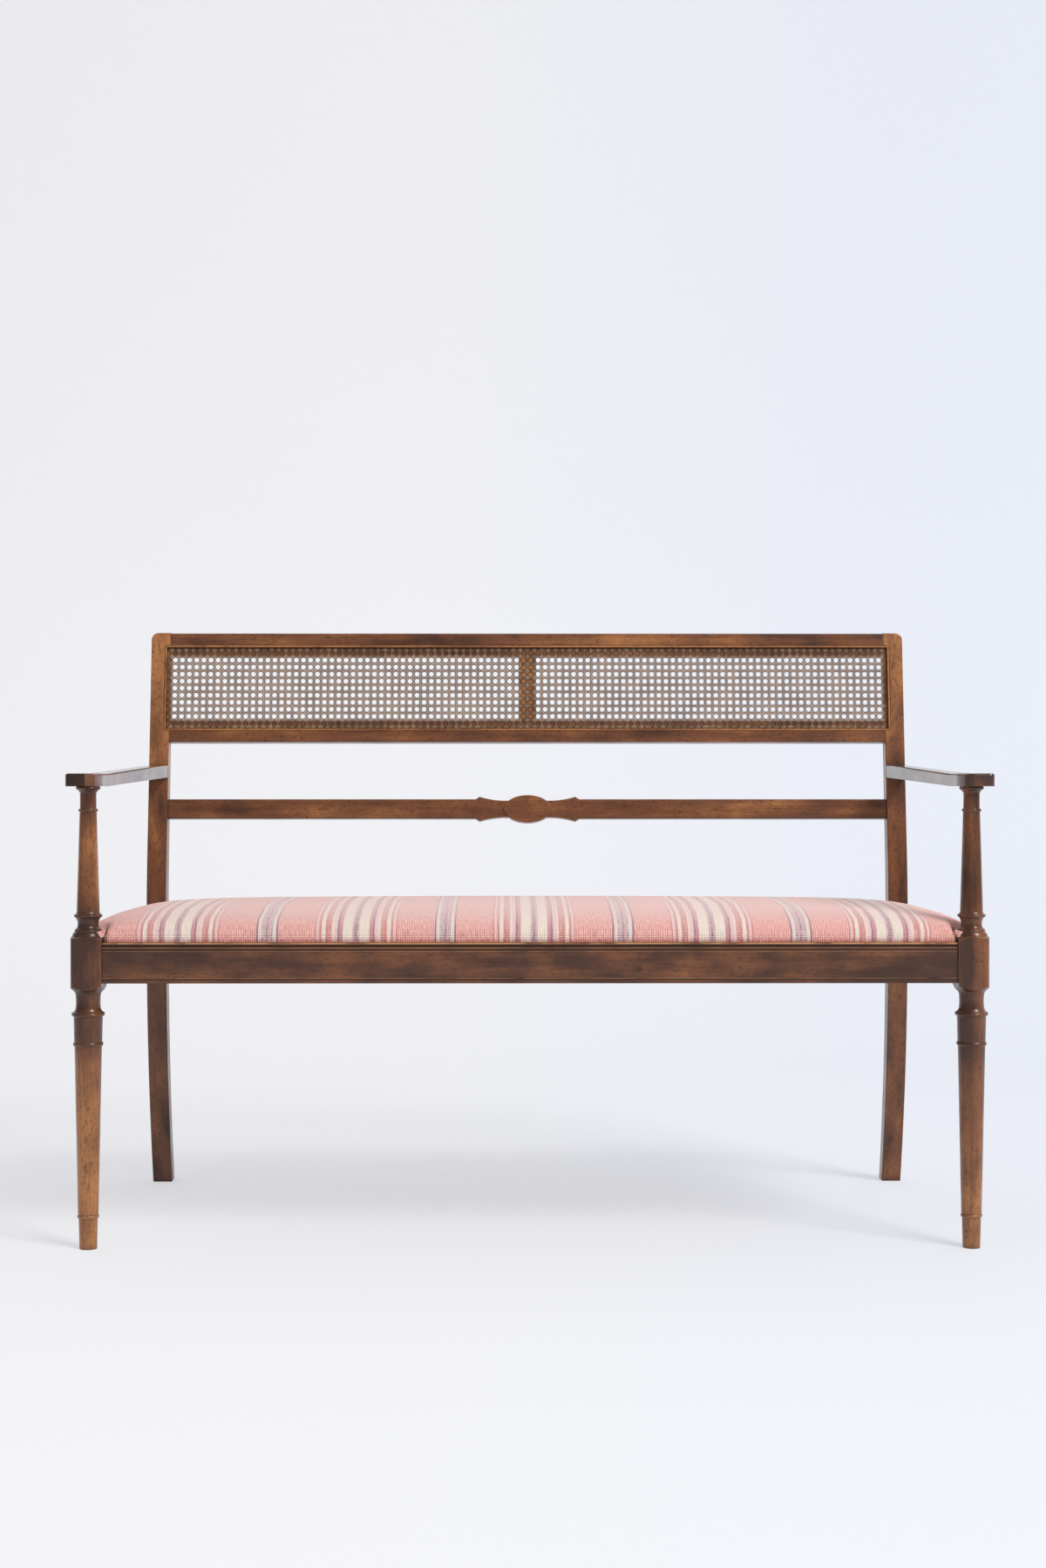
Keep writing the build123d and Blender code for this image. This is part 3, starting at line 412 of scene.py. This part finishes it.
def cane_strip(weave, length, width, steps, turn, middle, phase):
    """One flat strip that rides over and under the strips it meets."""
    strip = bmesh.ops.create_grid(weave, x_segments=steps, y_segments=2, size=0.5)["verts"]
    for vert in strip:
        along = vert.co.x * length
        side = 2 * vert.co.y
        lift = cane_rise * cos(pi * along / cane_pitch + phase) - strip_crown * side * side
        vert.co = (along, side * width / 2, lift)
    bmesh.ops.rotate(weave, verts=strip, matrix=Matrix.Rotation(turn, 3, "Z"))
    bmesh.ops.translate(weave, verts=strip, vec=middle)


def cane_piece(name, weave, material):
    """Trims the strips to the rebate, gives them thickness and places them in the back."""
    for way, reach in (((1, 0, 0), panel_half_width), ((0, 1, 0), panel_half_height)):
        for side in (1, -1):
            normal = Vector(way) * side
            every = weave.verts[:] + weave.edges[:] + weave.faces[:]
            edge = normal * reach
            bmesh.ops.bisect_plane(weave, geom=every, plane_co=edge, plane_no=normal, clear_outer=True)
    bmesh.ops.solidify(weave, geom=weave.faces[:], thickness=cane_skin)
    bmesh.ops.recalc_face_normals(weave, faces=weave.faces[:])
    bmesh.ops.transform(weave, verts=weave.verts[:], matrix=on_panel)
    piece = new_piece(name, weave)
    piece.data.shade_smooth()
    piece.data.materials.append(material)
    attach(piece, "frame")
    return piece


aged_scale = (38.0, 38.0, 38.0)
speck_scale = (420.0, 420.0, 420.0)
speck_depth = 0.6
crossing_shade_reach = 0.003
rind_roughness = 0.42


def cane_material(name, pale, brown, dark):
    """Split cane, glossy on its rind, browned unevenly by age and darkened by dirt and painted shade where
    strips cross.
    """
    material, tree, principled = new_material(name)
    place = object_place(tree)
    aged = eased(tree, speckle(tree, place, aged_scale), 0.35, 0.65)
    specks = eased(tree, speckle(tree, place, speck_scale), 0.4, 0.75)
    colour = blend(tree, aged, pale, brown)
    colour = blend(tree, times(tree, specks, speck_depth), colour, dark)
    open_air = put(tree, "AmbientOcclusion", {"Distance": crossing_shade_reach}, samples=4).outputs["AO"]
    # Dirt and painted shade where the strips cross and close each other in.
    crossing_shade = calc(tree, "SUBTRACT", 1.0, eased(tree, open_air, 0.1, 0.8))
    feed(tree, principled, {"Base Color": blend(tree, crossing_shade, colour, dark), "Roughness": rind_roughness})
    return material


pale_cane = cane_material(
    "pale_cane", pale=(0.42, 0.25, 0.14, 1), brown=(0.26, 0.135, 0.065, 1), dark=(0.05, 0.022, 0.011, 1)
)
dark_cane = cane_material(
    "dark_cane", pale=(0.10, 0.048, 0.025, 1), brown=(0.055, 0.026, 0.014, 1), dark=(0.018, 0.009, 0.005, 1)
)

uprights = bmesh.new()
upright_length = 2 * panel_half_height
quarter = pi / 2
for column in range(-columns, columns + 1):
    for side in (-1, 1):
        middle = (column * cane_pitch + side * pair_gap / 2, 0, 0)
        phase = pi * column - quarter
        cane_strip(uprights, upright_length, pair_width, upright_steps * rows, quarter, middle, phase)
cane_uprights = cane_piece("cane_uprights", uprights, pale_cane)
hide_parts("cane_panel")

crossings = bmesh.new()
crossing_length = 2 * panel_half_width
for row in range(-rows, rows):
    for side in (-1, 1):
        middle = (0, (row + 0.5) * cane_pitch + side * pair_gap / 2, 0)
        phase = pi * (row + 1)
        cane_strip(crossings, crossing_length, pair_width, crossing_steps * columns, 0.0, middle, phase)
cane_piece("cane_crossings", crossings, pale_cane)

diagonals = bmesh.new()
diagonal_length = 2 * panel_half_height * 2 ** 0.5 + 2 * cane_pitch
for line in range(-columns - rows, columns + rows + 1):
    for turn in (pi / 4, -pi / 4):
        middle = (line * cane_pitch, 0, cane_rise)
        phase = turn * 2
        cane_strip(diagonals, diagonal_length, diagonal_width, diagonal_steps * rows, turn, middle, phase)
cane_piece("cane_diagonals", diagonals, dark_cane)


# Inner frame, blocks and screws: pale unpolished beech out of sight under the seat, darkened by
# dust and painted shade in its corners, and plain steel countersunk screws in the corner blocks.
dust_and_shade = (0.16, 0.11, 0.075, 1)
dust_and_shade_depth = 0.6
bare_tones = {
    "Deep": (0.20, 0.12, 0.065, 1),
    "Warm": (0.40, 0.26, 0.15, 1),
    "Golden": (0.52, 0.37, 0.22, 1),
    "Tone": 0.35,
}
bare_edge = 0.0015
bare_strength = 0.2
bare_depth = 0.001
bare_roughness = 0.7
bare_beech, tree, principled = new_material("bare_beech")
place = put(tree, "Mapping", {"Vector": object_place(tree), "Rotation": grain_along}).outputs[0]
figure = put(tree, "Group", {"Place": place, **bare_tones}, node_tree=polished_figure).outputs
edges = put(tree, "Group", {"Place": place, "Width": bare_edge}, node_tree=worn_and_shaded_edges).outputs
# Dust and painted shade where the occlusion test finds corners and joins.
dusty_and_shaded = blend(tree, times(tree, edges["Shade and grime"], dust_and_shade_depth), figure["Color"], dust_and_shade)
relief = {"Height": figure["Height"], "Strength": bare_strength, "Distance": bare_depth}
bump = put(tree, "Bump", {"Normal": edges["Normal"], **relief}).outputs[0]
feed(tree, principled, {"Base Color": dusty_and_shaded, "Roughness": bare_roughness, "Normal": bump})
for node in nodes:
    if node.startswith(("seat_frame_", "corner_block_")) or node == "seat_cross_rail":
        finish_nodes(bare_beech, node)

clean_steel = (0.40, 0.38, 0.35, 1)
brown_steel = (0.16, 0.11, 0.08, 1)
tarnish_scale = (300.0, 300.0, 300.0)
screw_steel, tree, principled = new_material("screw_steel")
tarnish = eased(tree, speckle(tree, object_place(tree), tarnish_scale), 0.4, 0.65)
tarnished = blend(tree, tarnish, clean_steel, brown_steel)
feed(tree, principled, {"Base Color": tarnished, "Metallic": 0.9, "Roughness": 0.45})
finish_nodes(screw_steel, "corner_block_screws")


# Lift-out seat: hair stuffing on webbing under a striped woven cover, pulled over the loose
# frame and turned under it as a hem. The crown is blown up like the real pad and then cut open
# underneath, where the frame and the webbing show.
cover_low, cover_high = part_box("seat_cover")
pad_low, pad_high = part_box("seat_padding")
full_crown = pad_high.z - pad_low.z
held_margin = 0.002
held_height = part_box("seat_frame_front")[1].z + held_margin
weld_reach = 1e-5
level_reach = 1e-4
hem_lift = 0.0006
pad_voxel = 0.006
start_crown = 0.80
end_droop = 0.19
front_droop = 0.16
corner_droop = 0.5
middle_fullness = 1.7
end_fullness = 3.3
end_share = 0.55
pad_pressure = 4.0
pad_frames = 20
pad_cap = 0.004
roll_steps = 6
top_steps = 30
roll_smoothing = 0.5
cover_gap = 0.0022
hem = 0.0275
end_hem = 2.2 * hem
base_depth = 0.004


def verts_of(geom):
    """The vertices among an operator's results."""
    return [item for item in geom if isinstance(item, bmesh.types.BMVert)]


def draw_out(form, faces):
    """Extrudes faces, drops those left behind and returns the vertices to move."""
    drawn = bmesh.ops.extrude_face_region(form, geom=faces)["geom"]
    bmesh.ops.delete(form, geom=[face for face in faces if face.is_valid], context="FACES_ONLY")
    return verts_of(drawn)


def settle(piece):
    """Replaces a piece's mesh by what its modifiers make of it."""
    made = bpy.data.meshes.new_from_object(piece.evaluated_get(bpy.context.evaluated_depsgraph_get()))
    piece.modifiers.clear()
    piece.data = made


def crowned(point):
    """Height of the crown at a point of the stuffing: full at the ends, lower towards the edges."""
    rest = 1 - min(1.0, (point.z - pad_low.z) / full_crown)
    near_end = max(0.0, abs(point.x) / pad_high.x - end_share) / (1 - end_share)
    fullness = middle_fullness + near_end * (end_fullness - middle_fullness)
    off_middle = (2 * point.y - pad_low.y - pad_high.y) / (pad_high.y - pad_low.y)
    off_centre = point.x / pad_high.x
    droop = (1 - end_droop * off_centre ** 2) * (1 - front_droop * off_middle ** 2)
    droop *= 1 - corner_droop * off_centre ** 4 * off_middle ** 2
    return pad_low.z + full_crown * start_crown * droop * (1 - rest ** fullness)


def inside_hem(face):
    """Tells whether a face lies underneath and within the hem."""
    middle = face.calc_center_median()
    underneath = face.normal.z < -0.9 and middle.z < cover_low.z + base_depth
    between = cover_low.y + hem < middle.y < cover_high.y - hem
    return underneath and between and abs(middle.x) < cover_high.x - end_hem


stuffing = bmesh.new()
stuffing.from_mesh(nodes["seat_padding"].data)
bmesh.ops.remove_doubles(stuffing, verts=stuffing.verts[:], dist=weld_reach)
under = [
    face
    for face in stuffing.faces
    if face.normal.z < -0.99 and face.calc_center_median().z < pad_low.z + level_reach
]
skirt = draw_out(stuffing, under)
bmesh.ops.translate(stuffing, verts=skirt, vec=(0, 0, cover_low.z + hem_lift - pad_low.z))
bmesh.ops.recalc_face_normals(stuffing, faces=stuffing.faces[:])
seat_pad = new_piece("seat_pad", stuffing)
remesh = seat_pad.modifiers.new("remesh", "REMESH")
remesh.mode = "VOXEL"
remesh.voxel_size = pad_voxel
settle(seat_pad)
for vert in seat_pad.data.vertices:
    if vert.co.z > pad_low.z:
        vert.co.z = crowned(vert.co)
start = [vert.co.copy() for vert in seat_pad.data.vertices]
stuffed = BVHTree.FromPolygons(start, [face.vertices[:] for face in seat_pad.data.polygons])
held = seat_pad.vertex_groups.new(name="held")
held.add([vert.index for vert in seat_pad.data.vertices if vert.co.z < held_height], 1.0, "REPLACE")
cloth = seat_pad.modifiers.new("cloth", "CLOTH")
cloth.settings.vertex_group_mass = "held"
cloth.settings.use_pressure = True
cloth.settings.uniform_pressure_force = pad_pressure
cloth.settings.effector_weights.gravity = 0.0
for step in range(1, pad_frames + 1):
    bpy.context.scene.frame_set(step)
settle(seat_pad)
bpy.context.scene.frame_set(1)
for vert, before in zip(seat_pad.data.vertices, start):
    moved = vert.co - before
    if moved.length > pad_cap:
        vert.co = before + moved.normalized() * pad_cap
    spot, outward, _, _ = stuffed.find_nearest(vert.co)
    if (vert.co - spot).dot(outward) < 0:
        vert.co = spot
shell = bmesh.new()
shell.from_mesh(seat_pad.data)
for from_height, steps in ((held_height, roll_steps), (pad_low.z + full_crown / 2, top_steps)):
    rounded = [vert for vert in shell.verts if vert.co.z > from_height]
    for _ in range(steps):
        bmesh.ops.smooth_vert(
            shell, verts=rounded, factor=roll_smoothing, use_axis_x=True, use_axis_y=True, use_axis_z=True
        )
front_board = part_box("seat_frame_front")[0].y - cover_gap
back_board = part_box("seat_frame_rear")[1].y + cover_gap
shell.normal_update()
for vert in shell.verts:
    if vert.co.z < held_height + pad_voxel:
        if vert.normal.y < -0.5:
            vert.co.y = min(vert.co.y, front_board)
        if vert.normal.y > 0.5:
            vert.co.y = max(vert.co.y, back_board)
for vert in draw_out(shell, [face for face in shell.faces if inside_hem(face)]):
    vert.co.z = pad_low.z
bmesh.ops.recalc_face_normals(shell, faces=shell.faces[:])
shell.to_mesh(seat_pad.data)
shell.free()
seat_pad.data.shade_smooth()
run = seat_pad.data.attributes.new("run", "FLOAT", "POINT")
for vert in seat_pad.data.vertices:
    drop = pad_high.z - vert.co.z
    run.data[vert.index].value = vert.co.y - cover_low.y + (drop if vert.co.y > 0 else -drop)

ground = (0.640, 0.270, 0.235, 1)
pale_ground = (0.830, 0.500, 0.440, 1)
rose = (0.610, 0.270, 0.262, 1)
mauve = (0.560, 0.310, 0.315, 1)
lilac = (0.690, 0.490, 0.475, 1)
cream = (0.810, 0.725, 0.620, 1)
dim_cream = (0.720, 0.620, 0.525, 1)
white = (0.880, 0.820, 0.770, 1)
blue = (0.100, 0.110, 0.185, 1)
umber = (0.330, 0.190, 0.160, 1)
bleached_and_lit = (0.90, 0.70, 0.66, 1)
ribbed, laddered = 0.0, 1.0
# Millimetres from the middle of a repeat, the warp's colour, the floats' colour and their lie.
stripes = (
    (0.0, blue, lilac, laddered), (1.5, mauve, lilac, ribbed), (4.6, cream, dim_cream, ribbed),
    (17.6, mauve, rose, ribbed), (22.2, blue, mauve, laddered), (24.6, white, rose, laddered),
    (29.4, cream, pale_ground, ribbed), (32.8, rose, ground, ribbed), (34.2, umber, pale_ground, laddered),
    (36.6, rose, ground, ribbed), (41.0, cream, dim_cream, ribbed), (46.2, rose, ground, ribbed),
    (49.4, white, rose, laddered), (53.2, rose, ground, ribbed), (55.0, ground, pale_ground, ribbed),
    (105.4, mauve, blue, laddered), (107.6, cream, lilac, ribbed), (112.4, blue, cream, laddered),
    (114.8, mauve, lilac, ribbed), (118.5, blue, lilac, laddered),
)
half_repeat = 0.120
stripe_offset = 0.005
stripe_stray = 0.004
striped_reach = 0.572
rib_width = 0.0023
pick_length = 0.0023
slub_scale = (700.0, 70.0, 1.0)
grist_scale = (480.0, 480.0, 1.0)
stray_scale = (14.0, 14.0, 14.0)
dark_slub, pale_slub = 0.88, 1.12
unevenness = 2.2
ground_and_rib_shade = 0.35
bleach_and_light = 0.58
bleach_and_light_from = 0.015
tuck_rise, tuck_drop = 0.008, 0.001
tuck_fray = 0.010
tuck_shade_depth = 0.75
cover_strength = 0.7
cover_depth = 0.0006
cover_roughness = 0.9
cover_shine = 0.2
cover_sheen = 0.1


def wave(tree, value, length):
    """Sine of the given length along a coordinate, from -1 to 1."""
    return calc(tree, "SINE", times(tree, value, 2 * pi / length))


def stripe_ramp(tree, share, colours):
    """Colour of each stripe across half a repeat."""
    starts = [stripe[0] / 1000 / half_repeat for stripe in stripes]
    return ramp(tree, share, list(zip(starts, colours)), "CONSTANT")


cover_cloth, tree, principled = new_material("cover_cloth")
around = object_place(tree)
where = axes(tree, around)
along = put(tree, "Attribute", attribute_name="run").outputs["Fac"]
stray = calc(tree, "SUBTRACT", speckle(tree, around, stray_scale), 0.5)
across = calc(tree, "SUBTRACT", where["X"], stripe_offset)
across = calc(tree, "ADD", across, times(tree, stray, stripe_stray))
inner = put(tree, "Clamp", {"Value": across, "Min": -striped_reach, "Max": striped_reach}).outputs[0]
share = calc(tree, "DIVIDE", calc(tree, "PINGPONG", inner, half_repeat), half_repeat)
warp = stripe_ramp(tree, share, [stripe[1] for stripe in stripes])
weft = stripe_ramp(tree, share, [stripe[2] for stripe in stripes])
ladder = stripe_ramp(tree, share, [grey(stripe[3]) for stripe in stripes])
flat_place = put(tree, "CombineXYZ", {0: where["X"], 1: along}).outputs[0]
slub = speckle(tree, flat_place, slub_scale)
grist = speckle(tree, flat_place, grist_scale)
ribs = wave(tree, across, rib_width)
picks = wave(tree, along, pick_length)
ribbing = calc(tree, "ADD", times(tree, ribs, 0.7), times(tree, picks, 0.3))
lie = put(tree, "Mix", {0: ladder, 2: ribbing, 3: picks}).outputs[0]
uneven = calc(tree, "SUBTRACT", calc(tree, "ADD", slub, grist), 1.0)
floats = eased(tree, calc(tree, "ADD", lie, times(tree, uneven, unevenness)), -0.5, 0.6)
colour = blend(tree, floats, warp, weft)
streaks = ranged(tree, slub, noise_low, noise_high, dark_slub, pale_slub)
colour = blend(tree, 1.0, colour, streaks, "MULTIPLY")
# Painted shade between the ribs and picks, with the rose ground showing there.
between = times(tree, eased(tree, calc(tree, "ADD", ribs, picks), 0.0, -1.6), ground_and_rib_shade)
colour = blend(tree, between, colour, rose, "MULTIPLY")
# Paler towards the crown: sun fading and painted light on the top.
bleached_and_lit_mask = times(tree, eased(tree, where["Z"], rail_high.z + bleach_and_light_from, pad_high.z), bleach_and_light)
colour = blend(tree, bleached_and_lit_mask, colour, bleached_and_lit)
# Deeper rose along the rail: the cover's own deeper colour and painted shade where it meets the rail.
ragged = calc(tree, "ADD", where["Z"], times(tree, uneven, tuck_fray))
tuck_shade = eased(tree, ragged, rail_high.z + tuck_rise, rail_high.z - tuck_drop)
colour = blend(tree, times(tree, tuck_shade, tuck_shade_depth), colour, rose, "MULTIPLY")
weave = calc(tree, "ADD", times(tree, ribs, 0.4), times(tree, picks, 0.6))
relief = {"Height": weave, "Strength": cover_strength, "Distance": cover_depth}
bump = put(tree, "Bump", relief).outputs[0]
feed(tree, principled, {"Base Color": colour, "Roughness": cover_roughness, "Normal": bump})
feed(tree, principled, {"Specular IOR Level": cover_shine, "Sheen Weight": cover_sheen})
seat_pad.data.materials.clear()
seat_pad.data.materials.append(cover_cloth)
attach(seat_pad, "seat")
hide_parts("seat_cover", "seat_padding")


# Webbing: jute straps tacked to the loose frame, woven over and under each other, with hessian
# stretched above them to carry the stuffing.
jute_scale = (240.0, 240.0, 240.0)
weave_share = 0.3
jute_strength = 0.7
jute_depth = 0.0008
jute_roughness = 0.95


def jute_cloth(name, thread, dark, pale):
    """Plain-woven jute with threads of one size."""
    material, tree, principled = new_material(name)
    around = object_place(tree)
    where = axes(tree, around)
    weave = times(tree, wave(tree, where["X"], thread), wave(tree, where["Y"], thread))
    tone = calc(tree, "ADD", times(tree, weave, weave_share), speckle(tree, around, jute_scale))
    colour = blend(tree, eased(tree, tone, 0.2, 0.8), dark, pale)
    relief = {"Height": weave, "Strength": jute_strength, "Distance": jute_depth}
    bump = put(tree, "Bump", relief).outputs[0]
    feed(tree, principled, {"Base Color": colour, "Roughness": jute_roughness, "Normal": bump})
    return material


web_jute = jute_cloth(
    "web_jute", thread=0.0030, dark=(0.24, 0.17, 0.10, 1), pale=(0.60, 0.48, 0.31, 1)
)
hessian_jute = jute_cloth(
    "hessian_jute", thread=0.0022, dark=(0.13, 0.08, 0.04, 1), pale=(0.36, 0.25, 0.135, 1)
)
long_low, long_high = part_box("webbing_lengthwise")
cross_low, cross_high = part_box("webbing_crosswise")
long_count, cross_count = 3, 9
long_steps, cross_steps = 72, 36
strap_width = 0.050
strap_skin = 0.0012
strap_play = 0.0002
strap_middle = (long_low.z + cross_high.z) / 2
strap_weave = (cross_high.z - long_low.z - strap_skin) / 2 - strap_play


def strap_places(low, high, count):
    """Middles of straps spread evenly from one edge to the other."""
    pitch = (high - low - strap_width) / (count - 1)
    return [low + strap_width / 2 + index * pitch for index in range(count)]


def strap(webs, low, high, steps, lengthwise, place, turn):
    """A strap that dips under every other strap it meets."""
    crossings = cross_places if lengthwise else long_places
    pitch = crossings[1] - crossings[0]
    strip = bmesh.ops.create_grid(webs, x_segments=steps, y_segments=4, size=0.5)["verts"]
    for vert in strip:
        along = low + (vert.co.x + 0.5) * (high - low)
        across = place + vert.co.y * strap_width
        lift = strap_middle + turn * strap_weave * cos(pi * (along - crossings[0]) / pitch)
        vert.co = (along, across, lift) if lengthwise else (across, along, lift)


def web_piece(name, webs):
    """Gives straps their thickness and makes them one piece."""
    bmesh.ops.solidify(webs, geom=webs.faces[:], thickness=strap_skin)
    bmesh.ops.recalc_face_normals(webs, faces=webs.faces[:])
    piece = new_piece(name, webs)
    piece.data.shade_smooth()
    piece.data.materials.append(web_jute)
    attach(piece, "seat")
    return piece


long_places = strap_places(long_low.y, long_high.y, long_count)
cross_places = strap_places(cross_low.x, cross_high.x, cross_count)
webs = bmesh.new()
for index, place in enumerate(long_places):
    strap(webs, long_low.x, long_high.x, long_steps, True, place, (-1) ** index)
long_webs = web_piece("long_webs", webs)
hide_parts("webbing_lengthwise")
webs = bmesh.new()
for index, place in enumerate(cross_places):
    strap(webs, cross_low.y, cross_high.y, cross_steps, False, place, -((-1) ** index))
cross_webs = web_piece("cross_webs", webs)
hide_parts("webbing_crosswise")

cloth_low, cloth_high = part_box("hessian")
end_margin = 0.06
side_margin = 0.02
sheet_length = cloth_high.x - cloth_low.x - end_margin
sheet_width = cloth_high.y - cloth_low.y - side_margin
weave_sheet = bmesh.new()
bmesh.ops.create_grid(weave_sheet, x_segments=60, y_segments=24, size=0.5)
bmesh.ops.scale(weave_sheet, verts=weave_sheet.verts[:], vec=(sheet_length, sheet_width, 1))
bmesh.ops.translate(weave_sheet, verts=weave_sheet.verts[:], vec=(cloth_low + cloth_high) / 2)
hessian_sheet = new_piece("hessian_sheet", weave_sheet)
hessian_sheet.data.materials.append(hessian_jute)
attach(hessian_sheet, "seat")
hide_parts("hessian")


# Studio: a pale seamless floor that sweeps up behind, soft light from the front right and a
# bright even surround, with the camera at the photograph's place.
floor_reach = 7.0
sweep_place = 3.2
sweep_height = 5.0
sweep_bend = 1.5
left_paper = (0.84, 0.83, 0.83, 1)
right_paper = (0.745, 0.76, 0.795, 1)
left_glow = (0.850, 0.855, 0.890, 1)
right_glow = (0.790, 0.822, 0.912, 1)
black = (0, 0, 0, 1)
top_shade = 0.09
glow_share = 0.6
paper = bmesh.new()
bmesh.ops.create_grid(paper, x_segments=1, y_segments=1, size=1.0)
bmesh.ops.scale(paper, verts=paper.verts[:], vec=(floor_reach, (floor_reach + sweep_place) / 2, 1))
bmesh.ops.translate(paper, verts=paper.verts[:], vec=(0, (sweep_place - floor_reach) / 2, 0))
far_edge = max(paper.edges, key=lambda edge: sum(vert.co.y for vert in edge.verts))
lifted = verts_of(bmesh.ops.extrude_edge_only(paper, edges=[far_edge])["geom"])
bmesh.ops.translate(paper, verts=lifted, vec=(0, 0, sweep_height))
bmesh.ops.bevel(
    paper,
    geom=[far_edge],
    offset=sweep_bend,
    offset_type="OFFSET",
    segments=24,
    profile=0.5,
    affect="EDGES",
    material=-1,
)
paper_sweep = new_piece("paper_sweep", paper)
paper_sweep.data.shade_smooth()
paper_white, tree, _ = new_material("paper_white")
where = axes(tree, object_place(tree))
to_right = eased(tree, where["X"], -0.6, 1.4)
to_top = times(tree, eased(tree, where["Z"], 0.6, 3.4), top_shade)
matte = put(tree, "BsdfDiffuse", {"Color": blend(tree, to_right, left_paper, right_paper)}).outputs[0]
glow = blend(tree, to_top, blend(tree, to_right, left_glow, right_glow), black)
glow = put(tree, "Emission", {"Color": glow}).outputs[0]
rays = put(tree, "LightPath").outputs
seen = calc(tree, "MAXIMUM", rays["Is Camera Ray"], rays["Is Glossy Ray"])
shown = put(tree, "MixShader", {0: times(tree, seen, glow_share), 1: matte, 2: glow}).outputs[0]
feed(tree, tree.nodes["Material Output"], {"Surface": shown})
paper_sweep.data.materials.append(paper_white)

surround_colour = (0.95, 0.97, 1.0, 1)
surround_level, mirrored_level = 0.68, 0.24
world = bpy.data.worlds.new("studio")
world.use_nodes = True
tree = world.node_tree
glossy = put(tree, "LightPath").outputs["Is Glossy Ray"]
surround = ranged(tree, glossy, 0.0, 1.0, surround_level, mirrored_level)
feed(tree, tree.nodes["Background"], {"Color": surround_colour, "Strength": surround})
bpy.context.scene.world = world

lamp_place = Vector((4.2, -4.5, 5.8))
lamp_aim = Vector((0, 0, 0.4))
lamp = bpy.data.lights.new("key_light", "AREA")
lamp.shape = "SQUARE"
lamp.size = 2.9
lamp.energy = 500.0
key_light = bpy.data.objects.new("key_light", lamp)
key_light.location = lamp_place
key_light.rotation_euler = (lamp_aim - lamp_place).to_track_quat("-Z", "Y").to_euler()
bpy.context.scene.collection.objects.link(key_light)

camera_drop = 0.094
camera_turn = -0.3815
camera_data = bpy.data.cameras.new("camera")
camera_data.sensor_width = 36.0
camera_data.lens = 51.62
camera = bpy.data.objects.new("camera", camera_data)
camera.location = (-0.0303, -3.2949, 0.6326)
camera.rotation_euler = (radians(90 - camera_drop), 0.0, radians(camera_turn))
bpy.context.scene.collection.objects.link(camera)
bpy.context.scene.camera = camera
bpy.context.scene.view_settings.view_transform = "Standard"
